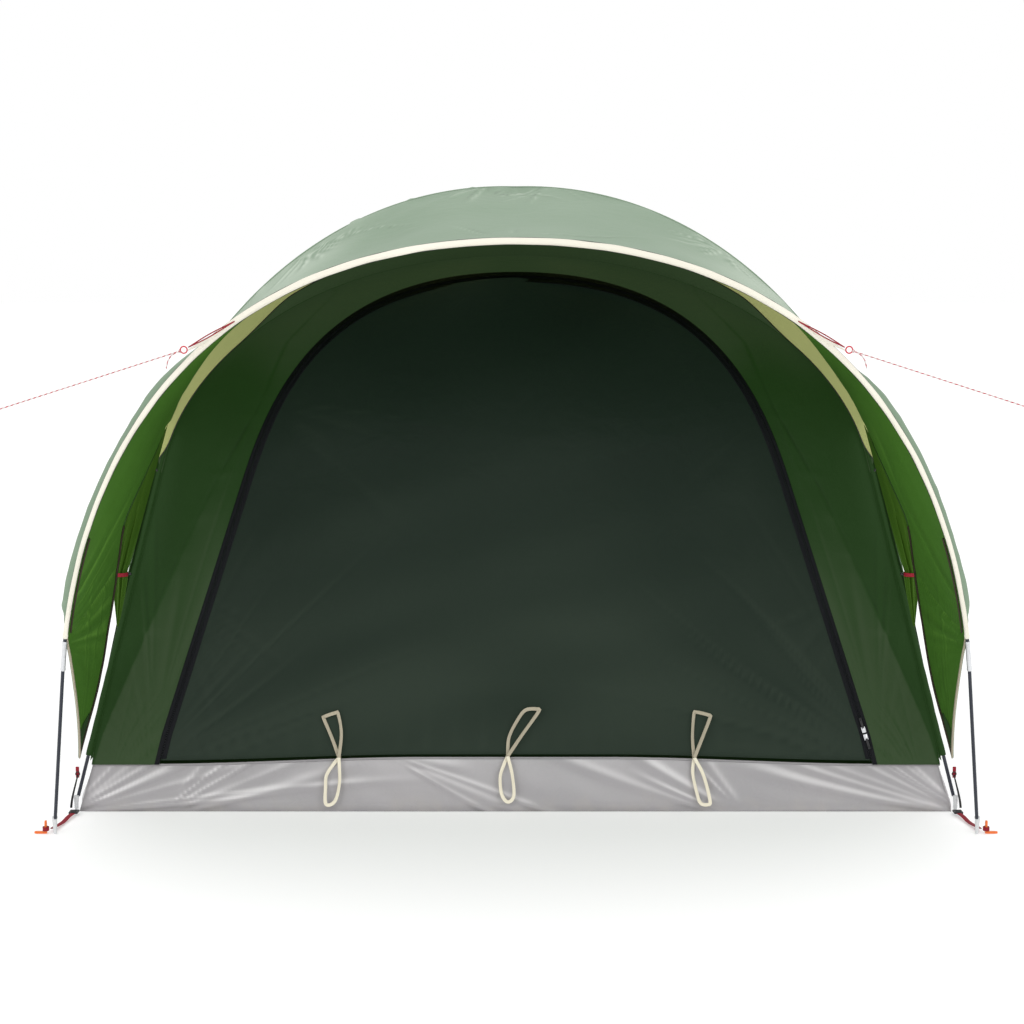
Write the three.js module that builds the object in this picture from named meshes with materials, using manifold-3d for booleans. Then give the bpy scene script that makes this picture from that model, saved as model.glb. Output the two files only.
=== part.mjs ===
// Dome tent on three poles: two poles cross over a zipped inner tent on a tub floor, and a
// third pole, the brow, leans forward and holds up the porch of the outer sheet.
// Millimetres, +X right, +Y to the rear, +Z up. Origin: middle of the floor's underside.

import * as THREE from 'three';
import { mergeVertices } from 'three/addons/utils/BufferGeometryUtils.js';
import Module from 'manifold-3d';

const wasm = await Module();
wasm.setup();

// ---- Driving dimensions -------------------------------------------------------------

const depthRatio = 0.875;        // tent's depth over its width
const legLean = 13.35;           // how far the crossing poles' legs lean inwards, degrees

// Each arch is half of a symmetric one: a straight leg up to a knee, then one curve to the top.
const flyArch = { foot: 1205, lean: legLean, knee: 962, kneePull: 195, topPull: 638, top: 1702 };
const poleArchUpper = { foot: 1191, lean: legLean, knee: 958, kneePull: 195, topPull: 630, top: 1687 };
const poleArchLower = { ...poleArchUpper, top: 1676.5 };
const innerArch = { foot: 1182, lean: legLean, knee: 955, kneePull: 209, topPull: 655, top: 1490 };
const browArch = { foot: 1200, lean: 7.5, knee: 466, kneePull: 474, topPull: 796, top: 1521 };

const browFootY = -1230;         // brow feet, in front of the floor
const browLean = Math.tan(THREE.MathUtils.degToRad(13));

const clothThickness = 3;        // cloth is drawn thick enough to be solid
const tubFoot = 1180;            // half width of the floor
const tubHeight = 140;
const hemHeight = 100;           // outer sheet's hem above the ground
const ridgeInset = 5;            // neighbouring panels stop this far short of the ridge
const apexHalf = 14;             // panels stop this far short of the very top

const poleRadius = 4.75;
const sleeveRadius = 8;
const sleeveBore = 5.6;
const ferruleRadius = 6.6;
const ferruleBottom = 455;
const ferruleTop = 530;
const tipHeight = 46;
const fitGap = 0.5;

// Door in the inner tent's front wall, seen straight on, and its zip.
const doorArch = { foot: 1022, lean: 17.3, knee: 877, kneePull: 306, topPull: 518, top: 1440 };
const doorSill = 150;
const zipHalf = 13;              // width of one half of the zip
const zipLift = 0.5;
const zipThickness = 1.6;
const sliderHeights = { upper: 216, lower: 194 };
const slider = { width: 11, length: 16, thickness: 5 };
const pullTab = { width: 6, length: 34, thickness: 2 };
const tieOffsets = { left: -478, centre: -22, right: 482 };
const tie = { bottom: 24, top: 258, lift: 4.5, width: 9, thickness: 1.5 };

// Side door of the porch: the gap between the wing's zip and the ridge.
const sideDoor = { tipHeight: 112, topHeight: 800, zipTopY: -1150, zipBow: 22 };
// Below this the side panels stand back from the front poles, so the doorway goes round the corner.
const sideCut = { topHeight: 660, bottomY: -850 };
const roll = { bottom: 470, top: 900, radius: 19, forward: 42, inward: 2, taper: 26 };
const rollStrap = { share: 0.4, halfShare: 0.022, bore: 15, radius: 17.5 };
const toggle = { radius: 3.6, length: 20, outward: 4, forward: 23 };

const guyShoulder = 1335;        // height of the guylines' anchors on the brow
const guyRing = { x: 782, y: -1548, z: 1268, radius: 8, wire: 1.5 };
const guyEnd = { x: 1252, y: -1548, z: 1118 };
const guyRadius = 1.5;
const guyKnot = 6;
const guyLoop = { width: 6, thickness: 2 };

const tip = { end: 4.5, waist: 6.5, mouth: 7.5, waistShare: 0.55 };
const strap = { width: 12, thickness: 1.6, height: 8 };
const buckle = { width: 24, length: 26, thickness: 7, forward: 27 };
const hook = { width: 6, thickness: 3, bottom: 16, belowWing: 8 };
const pegArm = 32;
const pegThickness = 5;
const pegWidth = 9;

// How finely the cloth is divided: columns across a panel, rows up it.
const frontGrid = [8, 20];
const innerGrid = [6, 16];
const flyGrid = [6, 18];
const roofGrid = [20, 10];
const wingGrid = [8, 12];

// ---- Finishes -----------------------------------------------------------------------

const finishes = {
  flyCloth: { color: 0x4f8a3c, roughness: 0.6, metalness: 0 },
  innerCloth: { color: 0x22392a, roughness: 0.75, metalness: 0 },
  tubCloth: { color: 0xb9b6bd, roughness: 0.45, metalness: 0 },
  creamCloth: { color: 0xeae6dc, roughness: 0.7, metalness: 0 },
  darkPole: { color: 0x1b2230, roughness: 0.35, metalness: 0.1 },
  silver: { color: 0xc9ccd0, roughness: 0.3, metalness: 0.9 },
  greyPlastic: { color: 0xd3d5d6, roughness: 0.5, metalness: 0 },
  blackPlastic: { color: 0x151515, roughness: 0.45, metalness: 0 },
  redWebbing: { color: 0x8c1126, roughness: 0.8, metalness: 0 },
  ribbon: { color: 0xb9b092, roughness: 0.8, metalness: 0 },
  orangePlastic: { color: 0xe06a1c, roughness: 0.4, metalness: 0 },
  guyCord: { color: 0xc7616a, roughness: 0.8, metalness: 0 },
};

const tent = new THREE.Group();

function addPiece(name, geometry, finish) {
  const mesh = new THREE.Mesh(geometry, new THREE.MeshStandardMaterial(finishes[finish]));
  mesh.name = name;
  tent.add(mesh);
  return mesh;
}

// ---- Geometry helpers ---------------------------------------------------------------

// Half an arch as a path of (half width, height), from its foot to its top.
function archPath({ foot, lean, knee, kneePull, topPull, top }) {
  const angle = THREE.MathUtils.degToRad(lean);
  const kneeHalf = foot - knee * Math.tan(angle);
  const path = new THREE.Path();
  path.moveTo(foot, 0);
  path.lineTo(kneeHalf, knee);
  path.bezierCurveTo(
    kneeHalf - kneePull * Math.sin(angle), knee + kneePull * Math.cos(angle),
    topPull, top,
    0, top,
  );
  return path;
}

// The share of the path's length at which a rising quantity reaches a value.
function shareWhere(quantity, value) {
  let low = 0;
  let high = 1;
  for (let step = 0; step < 40; step += 1) {
    const middle = (low + high) / 2;
    if (quantity(middle) < value) {
      low = middle;
    } else {
      high = middle;
    }
  }
  return (low + high) / 2;
}

const shareAtHeight = (path, height) => shareWhere((share) => path.getPoint(share).y, height);
const shareAtHalf = (path, half) => shareWhere((share) => -path.getPoint(share).x, -half);

function toSolid(geometry) {
  const bare = geometry.clone();
  bare.deleteAttribute('normal');
  bare.deleteAttribute('uv');
  const merged = mergeVertices(bare, 1e-3);
  return new wasm.Manifold(new wasm.Mesh({
    numProp: 3,
    vertProperties: new Float32Array(merged.attributes.position.array),
    triVerts: new Uint32Array(merged.index.array),
  }));
}

function toGeometry(solid) {
  const { vertProperties, triVerts } = solid.getMesh();
  const geometry = new THREE.BufferGeometry();
  geometry.setAttribute('position', new THREE.BufferAttribute(vertProperties, 3));
  geometry.setIndex(new THREE.BufferAttribute(triVerts, 1));
  geometry.computeVertexNormals();
  return geometry;
}

// A closed sheet of cloth: a grid of points given a thickness along its outward normals.
// The outward side is the one that faces away from the point inside the tent.
const insideTent = new THREE.Vector3(0, 0, 500);

function clothSheet(pointAt, columns, rows, outerOffset = 0, innerOffset = -clothThickness) {
  const step = 1e-4;
  const outer = [];
  const inner = [];
  for (let row = 0; row <= rows; row += 1) {
    for (let column = 0; column <= columns; column += 1) {
      const u = column / columns;
      const v = row / rows;
      const point = pointAt(u, v);
      const uStep = u < 0.5 ? step : -step;
      const vStep = v < 0.5 ? step : -step;
      const alongU = pointAt(u + uStep, v).sub(point).multiplyScalar(Math.sign(uStep));
      const alongV = pointAt(u, v + vStep).sub(point).multiplyScalar(Math.sign(vStep));
      const normal = alongU.cross(alongV).normalize();
      if (normal.dot(point.clone().sub(insideTent)) < 0) {
        normal.negate();
      }
      outer.push(point.clone().addScaledVector(normal, outerOffset));
      inner.push(point.clone().addScaledVector(normal, innerOffset));
    }
  }
  const points = [...outer, ...inner];
  const count = outer.length;
  const across = columns + 1;
  const faces = [];
  const quad = (a, b, c, d) => faces.push(a, b, c, a, c, d);
  for (let row = 0; row < rows; row += 1) {
    for (let column = 0; column < columns; column += 1) {
      const a = row * across + column;
      quad(a, a + 1, a + across + 1, a + across);
      quad(count + a, count + a + across, count + a + across + 1, count + a + 1);
    }
  }
  const last = rows * across;
  for (let column = 0; column < columns; column += 1) {
    quad(column, column + count, column + 1 + count, column + 1);
    quad(last + column, last + column + 1, last + column + 1 + count, last + column + count);
  }
  for (let row = 0; row < rows; row += 1) {
    const left = row * across;
    const right = left + columns;
    quad(left, left + across, left + across + count, left + count);
    quad(right, right + count, right + across + count, right + across);
  }
  const geometry = new THREE.BufferGeometry();
  geometry.setAttribute('position', new THREE.Float32BufferAttribute(points.flatMap((p) => p.toArray()), 3));
  geometry.setIndex(faces);
  return facingOut(geometry);
}

// Turns a closed geometry's faces round if they enclose a negative volume.
function facingOut(geometry) {
  const position = geometry.attributes.position;
  const index = Array.from(geometry.index.array);
  const corners = [new THREE.Vector3(), new THREE.Vector3(), new THREE.Vector3()];
  let volume = 0;
  for (let face = 0; face < index.length; face += 3) {
    corners.forEach((corner, k) => corner.fromBufferAttribute(position, index[face + k]));
    volume += corners[0].dot(corners[1].cross(corners[2]));
  }
  if (volume < 0) {
    for (let face = 0; face < index.length; face += 3) {
      [index[face + 1], index[face + 2]] = [index[face + 2], index[face + 1]];
    }
    geometry.setIndex(index);
  }
  geometry.computeVertexNormals();
  return geometry;
}

// A rod or tube along a curve, with a round section of the given number of sides.
function rodAlong(curve, radius, steps, sides = 8, bore = 0) {
  const section = new THREE.Shape();
  section.absarc(0, 0, radius, 0, Math.PI * 2, false);
  if (bore > 0) {
    const hole = new THREE.Path();
    hole.absarc(0, 0, bore, 0, Math.PI * 2, true);
    section.holes.push(hole);
  }
  return new THREE.ExtrudeGeometry(section, { steps, curveSegments: sides / 2, extrudePath: curve });
}

class FunctionCurve extends THREE.Curve {
  constructor(pointAt) {
    super();
    this.pointAt = pointAt;
  }

  getPoint(t, target = new THREE.Vector3()) {
    return target.copy(this.pointAt(t));
  }
}

// A box with its middle at a point, its length along one direction and its flat side towards another.
function strapBetween(from, to, width, thickness, facing = new THREE.Vector3(0, 0, 1)) {
  const along = to.clone().sub(from);
  const geometry = new THREE.BoxGeometry(width, along.length(), thickness);
  const lengthwise = along.clone().normalize();
  const across = lengthwise.clone().cross(facing).normalize();
  const outwards = across.clone().cross(lengthwise);
  geometry.applyMatrix4(new THREE.Matrix4().makeBasis(across, lengthwise, outwards));
  const middle = from.clone().add(to).multiplyScalar(0.5);
  return geometry.translate(middle.x, middle.y, middle.z);
}

// ---- The curves that the cloth and poles share --------------------------------------

const flyPath = archPath(flyArch);
const innerPath = archPath(innerArch);
const browPath = archPath(browArch);

function browPoint(share, side) {
  const { x: half, y: height } = browPath.getPoint(share);
  return new THREE.Vector3(side * half, browFootY - height * browLean, height);
}

function ridgePoint(path, share, sideX, sideY) {
  const { x: half, y: height } = path.getPoint(share);
  return new THREE.Vector3(sideX * half, sideY * depthRatio * half, height);
}

// A whole arch as one curve: from one foot at t = 0, over the top, to the other at t = 1.
function wholeArch(path, fromShare, pointOnHalf) {
  return new FunctionCurve((t) => {
    const side = t < 0.5 ? -1 : 1;
    const share = fromShare + (1 - fromShare) * (1 - Math.abs(1 - 2 * t));
    return pointOnHalf(path, Math.min(share, 1), side);
  });
}

// One panel of a four-sided dome, between two ridges. Facing is [x, y]: one of them is 0.
function domePanel(path, facing, bottom, columns, rows, outer, inner) {
  const fromShare = shareAtHeight(path, bottom);
  const toShare = shareAtHalf(path, apexHalf);
  const pointAt = (u, v) => {
    const { x: half, y: height } = path.getPoint(fromShare + (toShare - fromShare) * v);
    const across = (2 * u - 1) * (half - ridgeInset);
    return facing[0] === 0
      ? new THREE.Vector3(across, facing[1] * depthRatio * half, height)
      : new THREE.Vector3(facing[0] * half, depthRatio * across, height);
  };
  return clothSheet(pointAt, columns, rows, outer, inner);
}

// ---- Tub floor ----------------------------------------------------------------------

// A four-sided tapering block on the floor's outline, leaning in as the poles do.
function taperedBlock(half, bottom, top) {
  const lean = Math.tan(THREE.MathUtils.degToRad(legLean));
  const toCorner = Math.SQRT2;
  const geometry = new THREE.CylinderGeometry(
    (half - top * lean) * toCorner, (half - bottom * lean) * toCorner, top - bottom, 4,
  );
  geometry.rotateY(Math.PI / 4);
  geometry.rotateX(Math.PI / 2);
  geometry.scale(1, depthRatio, 1);
  return geometry.translate(0, 0, (top + bottom) / 2);
}

function makeTub() {
  const outside = toSolid(taperedBlock(tubFoot, 0, tubHeight));
  const hollow = toSolid(taperedBlock(tubFoot - clothThickness, clothThickness, tubHeight + 10));
  return toGeometry(outside.subtract(hollow));
}

addPiece('groundsheet_tub', makeTub(), 'tubCloth');

// ---- Inner tent: walls, door, zip ---------------------------------------------------

const wallBottom = tubHeight + 1.5;

// A block through the front wall with the door's outline, drawn in by a margin all round.
function doorBlock(margin, sill) {
  const path = archPath({
    ...doorArch,
    foot: doorArch.foot - margin,
    topPull: doorArch.topPull - margin / 2,
    top: doorArch.top - margin,
  });
  const from = shareAtHeight(path, sill);
  const rightSide = [];
  const samples = 26;
  for (let i = 0; i < samples; i += 1) {
    rightSide.push(path.getPoint(from + (1 - from) * (i / samples)));
  }
  const leftSide = rightSide.map((p) => new THREE.Vector2(-p.x, p.y)).reverse();
  const outline = new THREE.Shape([...rightSide, new THREE.Vector2(0, doorArch.top - margin), ...leftSide]);
  const reach = 900;
  const geometry = new THREE.ExtrudeGeometry(outline, { depth: reach, bevelEnabled: false });
  geometry.rotateX(Math.PI / 2);
  return toSolid(geometry.translate(0, -300, 0));
}

function makeFrontWall() {
  const panel = toSolid(domePanel(innerPath, [0, -1], wallBottom, ...frontGrid));
  return toGeometry(panel.subtract(doorBlock(zipHalf, 0)));
}

function makeDoor() {
  const panel = toSolid(domePanel(innerPath, [0, -1], wallBottom, ...frontGrid));
  return toGeometry(panel.intersect(doorBlock(zipHalf + 2, doorSill)));
}

// One half of the zip's tape: a band that follows the door's outline on the wall's outer face.
function makeZipTape(outerMargin, innerMargin, sill) {
  const lifted = toSolid(
    domePanel(innerPath, [0, -1], wallBottom, ...frontGrid, zipLift + zipThickness, zipLift),
  );
  const band = doorBlock(outerMargin, sill).subtract(doorBlock(innerMargin, 0));
  return toGeometry(lifted.intersect(band));
}

addPiece('inner_front_wall', makeFrontWall(), 'innerCloth');
addPiece('inner_door', makeDoor(), 'innerCloth');
addPiece('inner_left_wall', domePanel(innerPath, [-1, 0], wallBottom, ...innerGrid), 'innerCloth');
addPiece('inner_right_wall', domePanel(innerPath, [1, 0], wallBottom, ...innerGrid), 'innerCloth');
addPiece('inner_rear_wall', domePanel(innerPath, [0, 1], wallBottom, ...innerGrid), 'innerCloth');
addPiece('door_zip_wall_half', makeZipTape(0, zipHalf, 0), 'blackPlastic');
addPiece('door_zip_door_half', makeZipTape(zipHalf + 2, 2 * zipHalf + 2, doorSill + 2), 'blackPlastic');

// The wall's outer face near the floor is flat: this is its point at a height and a place across.
const wallSlope = depthRatio * Math.tan(THREE.MathUtils.degToRad(legLean));
const wallNormal = new THREE.Vector3(0, -1, wallSlope).normalize();

function onFrontWall(x, height, lift) {
  const y = -depthRatio * innerArch.foot + wallSlope * height;
  return new THREE.Vector3(x, y, height).addScaledVector(wallNormal, lift);
}

// Where the zip's middle line stands at a height on its straight right leg.
function onZipLeg(height, lift) {
  const slope = Math.tan(THREE.MathUtils.degToRad(doorArch.lean));
  return onFrontWall(doorArch.foot - zipHalf - 1 - height * slope, height, lift);
}

const zipDirection = onZipLeg(1, 0).sub(onZipLeg(0, 0)).normalize();

// A slider's body with its pull tab, which points up or down the zip.
function makeSlider(height, pullDirection) {
  const bodyLift = zipLift + zipThickness + fitGap + slider.thickness / 2;
  const centre = onZipLeg(height, bodyLift);
  const body = strapBetween(
    centre.clone().addScaledVector(zipDirection, -slider.length / 2),
    centre.clone().addScaledVector(zipDirection, slider.length / 2),
    slider.width, slider.thickness, wallNormal,
  );
  const tabStart = onZipLeg(height, bodyLift + pullTab.thickness);
  const tab = strapBetween(
    tabStart,
    tabStart.clone().addScaledVector(zipDirection, pullDirection * pullTab.length),
    pullTab.width, pullTab.thickness, wallNormal,
  );
  return toGeometry(toSolid(body).add(toSolid(tab)));
}

addPiece('door_zip_slider_upper', makeSlider(sliderHeights.upper, 1), 'silver');
addPiece('door_zip_slider_lower', makeSlider(sliderHeights.lower, -1), 'silver');

// Ribbon ties sewn into the seam between tub and door: they hold the door when it is rolled down.
for (const [place, x] of Object.entries(tieOffsets)) {
  const ribbon = strapBetween(
    onFrontWall(x, tie.bottom, tie.lift), onFrontWall(x, tie.top, tie.lift),
    tie.width, tie.thickness, wallNormal,
  );
  addPiece(`door_tie_${place}`, ribbon, 'ribbon');
}

// ---- Crossing poles -----------------------------------------------------------------

function crossingPole(arch, sideOfLeftFoot) {
  const path = archPath(arch);
  const from = shareAtHeight(path, tipHeight + 2.5);
  const curve = wholeArch(path, from, (half, share, side) => (
    ridgePoint(half, share, side, side * sideOfLeftFoot)
  ));
  return rodAlong(curve, poleRadius, 56);
}

addPiece('main_pole_upper', crossingPole(poleArchUpper, 1), 'darkPole');
addPiece('main_pole_lower', crossingPole(poleArchLower, -1), 'darkPole');

// A tapering foot cap, standing upright on its flat end.
function makeTip(x, y, height) {
  const profile = [
    new THREE.Vector2(0, 0),
    new THREE.Vector2(tip.end, 0),
    new THREE.Vector2(tip.waist, height * tip.waistShare),
    new THREE.Vector2(tip.mouth, height),
    new THREE.Vector2(0, height),
  ];
  const geometry = new THREE.LatheGeometry(profile, 12);
  geometry.rotateX(Math.PI / 2);
  return toGeometry(toSolid(geometry.translate(x, y, 0)));
}

const corners = [
  { name: 'front_left', x: -1, y: -1 },
  { name: 'front_right', x: 1, y: -1 },
  { name: 'rear_left', x: -1, y: 1 },
  { name: 'rear_right', x: 1, y: 1 },
];

const poleFoot = archPath(poleArchUpper).getPoint(shareAtHeight(archPath(poleArchUpper), tipHeight / 2));
for (const { name, x, y } of corners) {
  addPiece(`pole_tip_${name}`, makeTip(x * poleFoot.x, y * depthRatio * poleFoot.x, tipHeight), 'greyPlastic');
}

// ---- Brow pole and its sleeve -------------------------------------------------------

const sides = [
  { name: 'left', side: -1 },
  { name: 'right', side: 1 },
];

const browShare = (height) => shareAtHeight(browPath, height);
const browJoint = (ferruleBottom + ferruleTop) / 2;

function browSpan(fromHeight, toHeight, side) {
  const from = browShare(fromHeight);
  const to = browShare(toHeight);
  return new FunctionCurve((t) => browPoint(from + (to - from) * t, side));
}

const browOver = (fromHeight) => wholeArch(
  browPath, browShare(fromHeight), (path, share, side) => browPoint(share, side),
);

addPiece('brow_pole_arch', rodAlong(browOver(browJoint + 1), poleRadius, 48), 'darkPole');
addPiece(
  'brow_sleeve',
  rodAlong(browOver(ferruleTop + 6), sleeveRadius, 48, 8, sleeveBore),
  'creamCloth',
);
for (const { name, side } of sides) {
  const leg = rodAlong(browSpan(tipHeight + 3, browJoint - 1, side), poleRadius, 6);
  const ferrule = rodAlong(browSpan(ferruleBottom, ferruleTop, side), ferruleRadius, 2, 12, poleRadius + fitGap);
  const foot = browPoint(browShare(tipHeight / 2), side);
  addPiece(`brow_pole_leg_${name}`, leg, 'darkPole');
  addPiece(`brow_ferrule_${name}`, ferrule, 'silver');
  addPiece(`brow_foot_${name}`, makeTip(foot.x, foot.y, tipHeight), 'greyPlastic');
}

// ---- Outer sheet --------------------------------------------------------------------

// A block through both sides of the tent from an outline seen from the side, as (y, z).
function sideBlock(outline) {
  const width = 2800;
  const geometry = new THREE.ExtrudeGeometry(outline, { depth: width, bevelEnabled: false, curveSegments: 8 });
  geometry.rotateX(Math.PI / 2);
  geometry.rotateZ(Math.PI / 2);
  return toSolid(geometry.translate(-width / 2, 0, 0));
}

function makeSidePanel(side) {
  const panel = toSolid(domePanel(flyPath, [side, 0], hemHeight, ...flyGrid));
  const ridge = ridgePoint(flyPath, shareAtHeight(flyPath, sideCut.topHeight), side, -1);
  const outline = new THREE.Shape();
  outline.moveTo(browFootY, 0);
  outline.lineTo(sideCut.bottomY, 0);
  outline.lineTo(ridge.y + ridgeInset, sideCut.topHeight);
  outline.lineTo(browFootY, sideCut.topHeight);
  return toGeometry(panel.subtract(sideBlock(outline)));
}

addPiece('fly_side_left', makeSidePanel(-1), 'flyCloth');
addPiece('fly_side_right', makeSidePanel(1), 'flyCloth');
addPiece('fly_rear_panel', domePanel(flyPath, [0, 1], hemHeight, ...flyGrid), 'flyCloth');

// The porch is ruled by straight lines from the brow sleeve back to the ridge of the dome.
const sleeveEnd = browShare(ferruleTop + 10);
const ridgeTip = shareAtHeight(flyPath, sideDoor.tipHeight);
const shoulderShare = (browShare(guyShoulder) - sleeveEnd) / (1 - sleeveEnd);
const sleeveGap = sleeveRadius + 3;

// The share of a line at which it stands clear of a curve that it starts from.
function clearShare(start, end, startAlong, gap) {
  const line = end.clone().sub(start);
  const sine = Math.sin(line.angleTo(startAlong.clone().sub(start)));
  return gap / (line.length() * sine);
}

function porchPoint(rise, back, side) {
  const frontShare = sleeveEnd + (1 - sleeveEnd) * rise;
  const ridgeShare = ridgeTip + (1 - ridgeTip) * rise;
  const front = browPoint(frontShare, side);
  const ridge = ridgePoint(flyPath, ridgeShare, side, -1);
  const start = clearShare(front, ridge, browPoint(frontShare - 0.01, side), sleeveGap);
  const end = 1 - clearShare(ridge, front, ridgePoint(flyPath, ridgeShare - 0.01, side, -1), ridgeInset);
  return front.lerp(ridge, start + (end - start) * back);
}

// The side door's gap, seen from the side: everything between the wing's zip and the ridge.
function sideDoorBlock() {
  const outline = new THREE.Shape();
  const tipY = -depthRatio * (flyArch.foot - sideDoor.tipHeight * Math.tan(THREE.MathUtils.degToRad(legLean)));
  outline.moveTo(tipY - 4, 0);
  outline.lineTo(tipY - 4, sideDoor.tipHeight);
  outline.quadraticCurveTo(
    tipY - sideDoor.zipBow, (sideDoor.tipHeight + sideDoor.topHeight) / 2,
    sideDoor.zipTopY, sideDoor.topHeight,
  );
  outline.lineTo(tipY + 260, sideDoor.topHeight + 20);
  outline.lineTo(tipY + 260, 0);
  return sideBlock(outline);
}

const roofHalfRise = 1 - shoulderShare;
const seamGap = 0.004;

function roofPoint(u, back) {
  const side = u < 0.5 ? -1 : 1;
  const rise = 1 - (roofHalfRise - seamGap) * Math.abs(2 * u - 1);
  return porchPoint(rise, back * 0.992, side);
}

addPiece('fly_porch_roof', clothSheet(roofPoint, ...roofGrid), 'flyCloth');
for (const { name, side } of sides) {
  const wing = toSolid(clothSheet((u, v) => porchPoint((shoulderShare - seamGap) * v, u, side), ...wingGrid));
  addPiece(`fly_wing_${name}`, toGeometry(wing.subtract(sideDoorBlock())), 'flyCloth');
}

// ---- Side doors rolled back and tied ------------------------------------------------

// Where the middle of the roll stands beside the ridge at a height.
function rollPoint(height, side) {
  const ridge = ridgePoint(flyPath, shareAtHeight(flyPath, height), side, -1);
  const inwards = roll.taper * (height - roll.bottom) / (roll.top - roll.bottom);
  return ridge.add(new THREE.Vector3(-side * (roll.inward + inwards), -roll.forward, 0));
}

// A turned piece about the roll's own line, from a profile of (radius, share of the length).
function turnedOnRoll(profile, side, segments = 10) {
  const bottom = rollPoint(roll.bottom, side);
  const along = rollPoint(roll.top, side).sub(bottom);
  const length = along.length();
  const points = profile.map(([radius, share]) => new THREE.Vector2(radius, share * length));
  const geometry = new THREE.LatheGeometry(points, segments);
  geometry.applyQuaternion(new THREE.Quaternion().setFromUnitVectors(
    new THREE.Vector3(0, 1, 0), along.clone().normalize(),
  ));
  return toGeometry(toSolid(geometry.translate(bottom.x, bottom.y, bottom.z)));
}

// Tapered at both ends and drawn in at the strap.
const rollProfile = [
  [0, 0], [7, 0.01], [12, 0.15], [14, rollStrap.share - 0.06],
  [14, rollStrap.share + 0.06], [roll.radius, 0.7], [15, 0.97], [0, 1],
];

for (const { name, side } of sides) {
  addPiece(`side_door_roll_${name}`, turnedOnRoll(rollProfile, side), 'flyCloth');
  const below = rollStrap.share - rollStrap.halfShare;
  const above = rollStrap.share + rollStrap.halfShare;
  const strapProfile = [
    [rollStrap.bore, below], [rollStrap.radius, below],
    [rollStrap.radius, above], [rollStrap.bore, above], [rollStrap.bore, below],
  ];
  addPiece(`side_door_strap_${name}`, turnedOnRoll(strapProfile, side, 16), 'redWebbing');
  const height = roll.bottom + rollStrap.share * (roll.top - roll.bottom);
  const at = rollPoint(height, side).add(new THREE.Vector3(side * toggle.outward, -toggle.forward, 0));
  const capsule = new THREE.CapsuleGeometry(toggle.radius, toggle.length, 3, 10);
  capsule.rotateZ(Math.PI / 2);
  capsule.translate(at.x, at.y, at.z);
  addPiece(`side_door_toggle_${name}`, capsule, 'blackPlastic');
}

// ---- Corner straps, buckles, wing hooks and pegs ------------------------------------

const cornerX = poleFoot.x;
const cornerY = depthRatio * poleFoot.x;

for (const { name, x, y } of corners) {
  const front = y < 0;
  const from = new THREE.Vector3(x * (cornerX + 1), y * (cornerY + (front ? 42 : 12)), strap.height);
  const to = front
    ? new THREE.Vector3(x * 1208, browFootY + 14, strap.height)
    : new THREE.Vector3(x * (cornerX + 30), y * (cornerY + 56), strap.height);
  addPiece(`corner_strap_${name}`, strapBetween(from, to, strap.width, strap.thickness), 'redWebbing');
}

for (const { name, side } of sides) {
  const box = new THREE.BoxGeometry(buckle.width, buckle.length, buckle.thickness);
  box.translate(side * (cornerX + 1), -cornerY - buckle.forward, strap.height);
  addPiece(`corner_buckle_${name}`, box, 'blackPlastic');
  const elastic = strapBetween(
    new THREE.Vector3(side * (cornerX + 11), -cornerY - 18, hook.bottom),
    new THREE.Vector3(side * (cornerX - 8), -cornerY - 8, sideDoor.tipHeight - hook.belowWing),
    hook.width, hook.thickness, new THREE.Vector3(0, -1, 0),
  );
  addPiece(`wing_hook_${name}`, elastic, 'blackPlastic');
}

// An angle peg: one arm flat on the ground, one arm upright in the strap's loop.
function makePeg(x, y, side) {
  const outline = new THREE.Shape();
  outline.moveTo(0, 0);
  outline.lineTo(side * pegArm, 0);
  outline.lineTo(side * pegArm, pegThickness);
  outline.lineTo(side * pegThickness, pegThickness + 2);
  outline.lineTo(side * pegThickness, pegArm + 2);
  outline.lineTo(0, pegArm + 2);
  const points = outline.getPoints();
  const ordered = side > 0 ? points : points.reverse();
  const geometry = new THREE.ExtrudeGeometry(new THREE.Shape(ordered), { depth: pegWidth, bevelEnabled: false });
  geometry.rotateX(Math.PI / 2);
  return geometry.translate(x, y + pegWidth / 2, 0);
}

for (const { name, x, y } of corners) {
  const peg = y < 0
    ? makePeg(x * 1219, browFootY - 2, x)
    : makePeg(x * (cornerX + 34), y * (cornerY + 66), x);
  addPiece(`peg_${name}`, peg, 'orangePlastic');
}

// ---- Guylines -----------------------------------------------------------------------

for (const { name, side } of sides) {
  const ring = new THREE.Vector3(side * guyRing.x, guyRing.y, guyRing.z);
  const end = new THREE.Vector3(side * guyEnd.x, guyEnd.y, guyEnd.z);
  const outwards = end.clone().sub(ring).normalize();
  const anchor = browPoint(browShare(guyShoulder), side).add(new THREE.Vector3(0, -sleeveRadius - 5, 0));
  const toRing = ring.clone().sub(anchor).normalize();
  const loopEnd = ring.clone().addScaledVector(toRing, -guyRing.radius - 3);
  const loop = strapBetween(anchor, loopEnd, guyLoop.width, guyLoop.thickness, new THREE.Vector3(0, -1, 0));
  addPiece(`guyline_loop_${name}`, loop, 'redWebbing');

  const ringGeometry = new THREE.TorusGeometry(guyRing.radius, guyRing.wire, 6, 16);
  ringGeometry.rotateX(Math.PI / 2);
  ringGeometry.translate(ring.x, ring.y, ring.z);
  addPiece(`guyline_ring_${name}`, ringGeometry, 'redWebbing');

  const start = ring.clone().addScaledVector(outwards, guyRing.radius + 3);
  const stop = end.clone().addScaledVector(outwards, -guyKnot - 2);
  const cord = new THREE.LineCurve3(start, stop);
  addPiece(`guyline_${name}`, rodAlong(cord, guyRadius, 40), 'guyCord');

  const knot = new THREE.SphereGeometry(guyKnot, 10, 8);
  knot.translate(end.x, end.y, end.z);
  addPiece(`guyline_end_${name}`, knot, 'guyCord');
}

export default tent;
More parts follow.
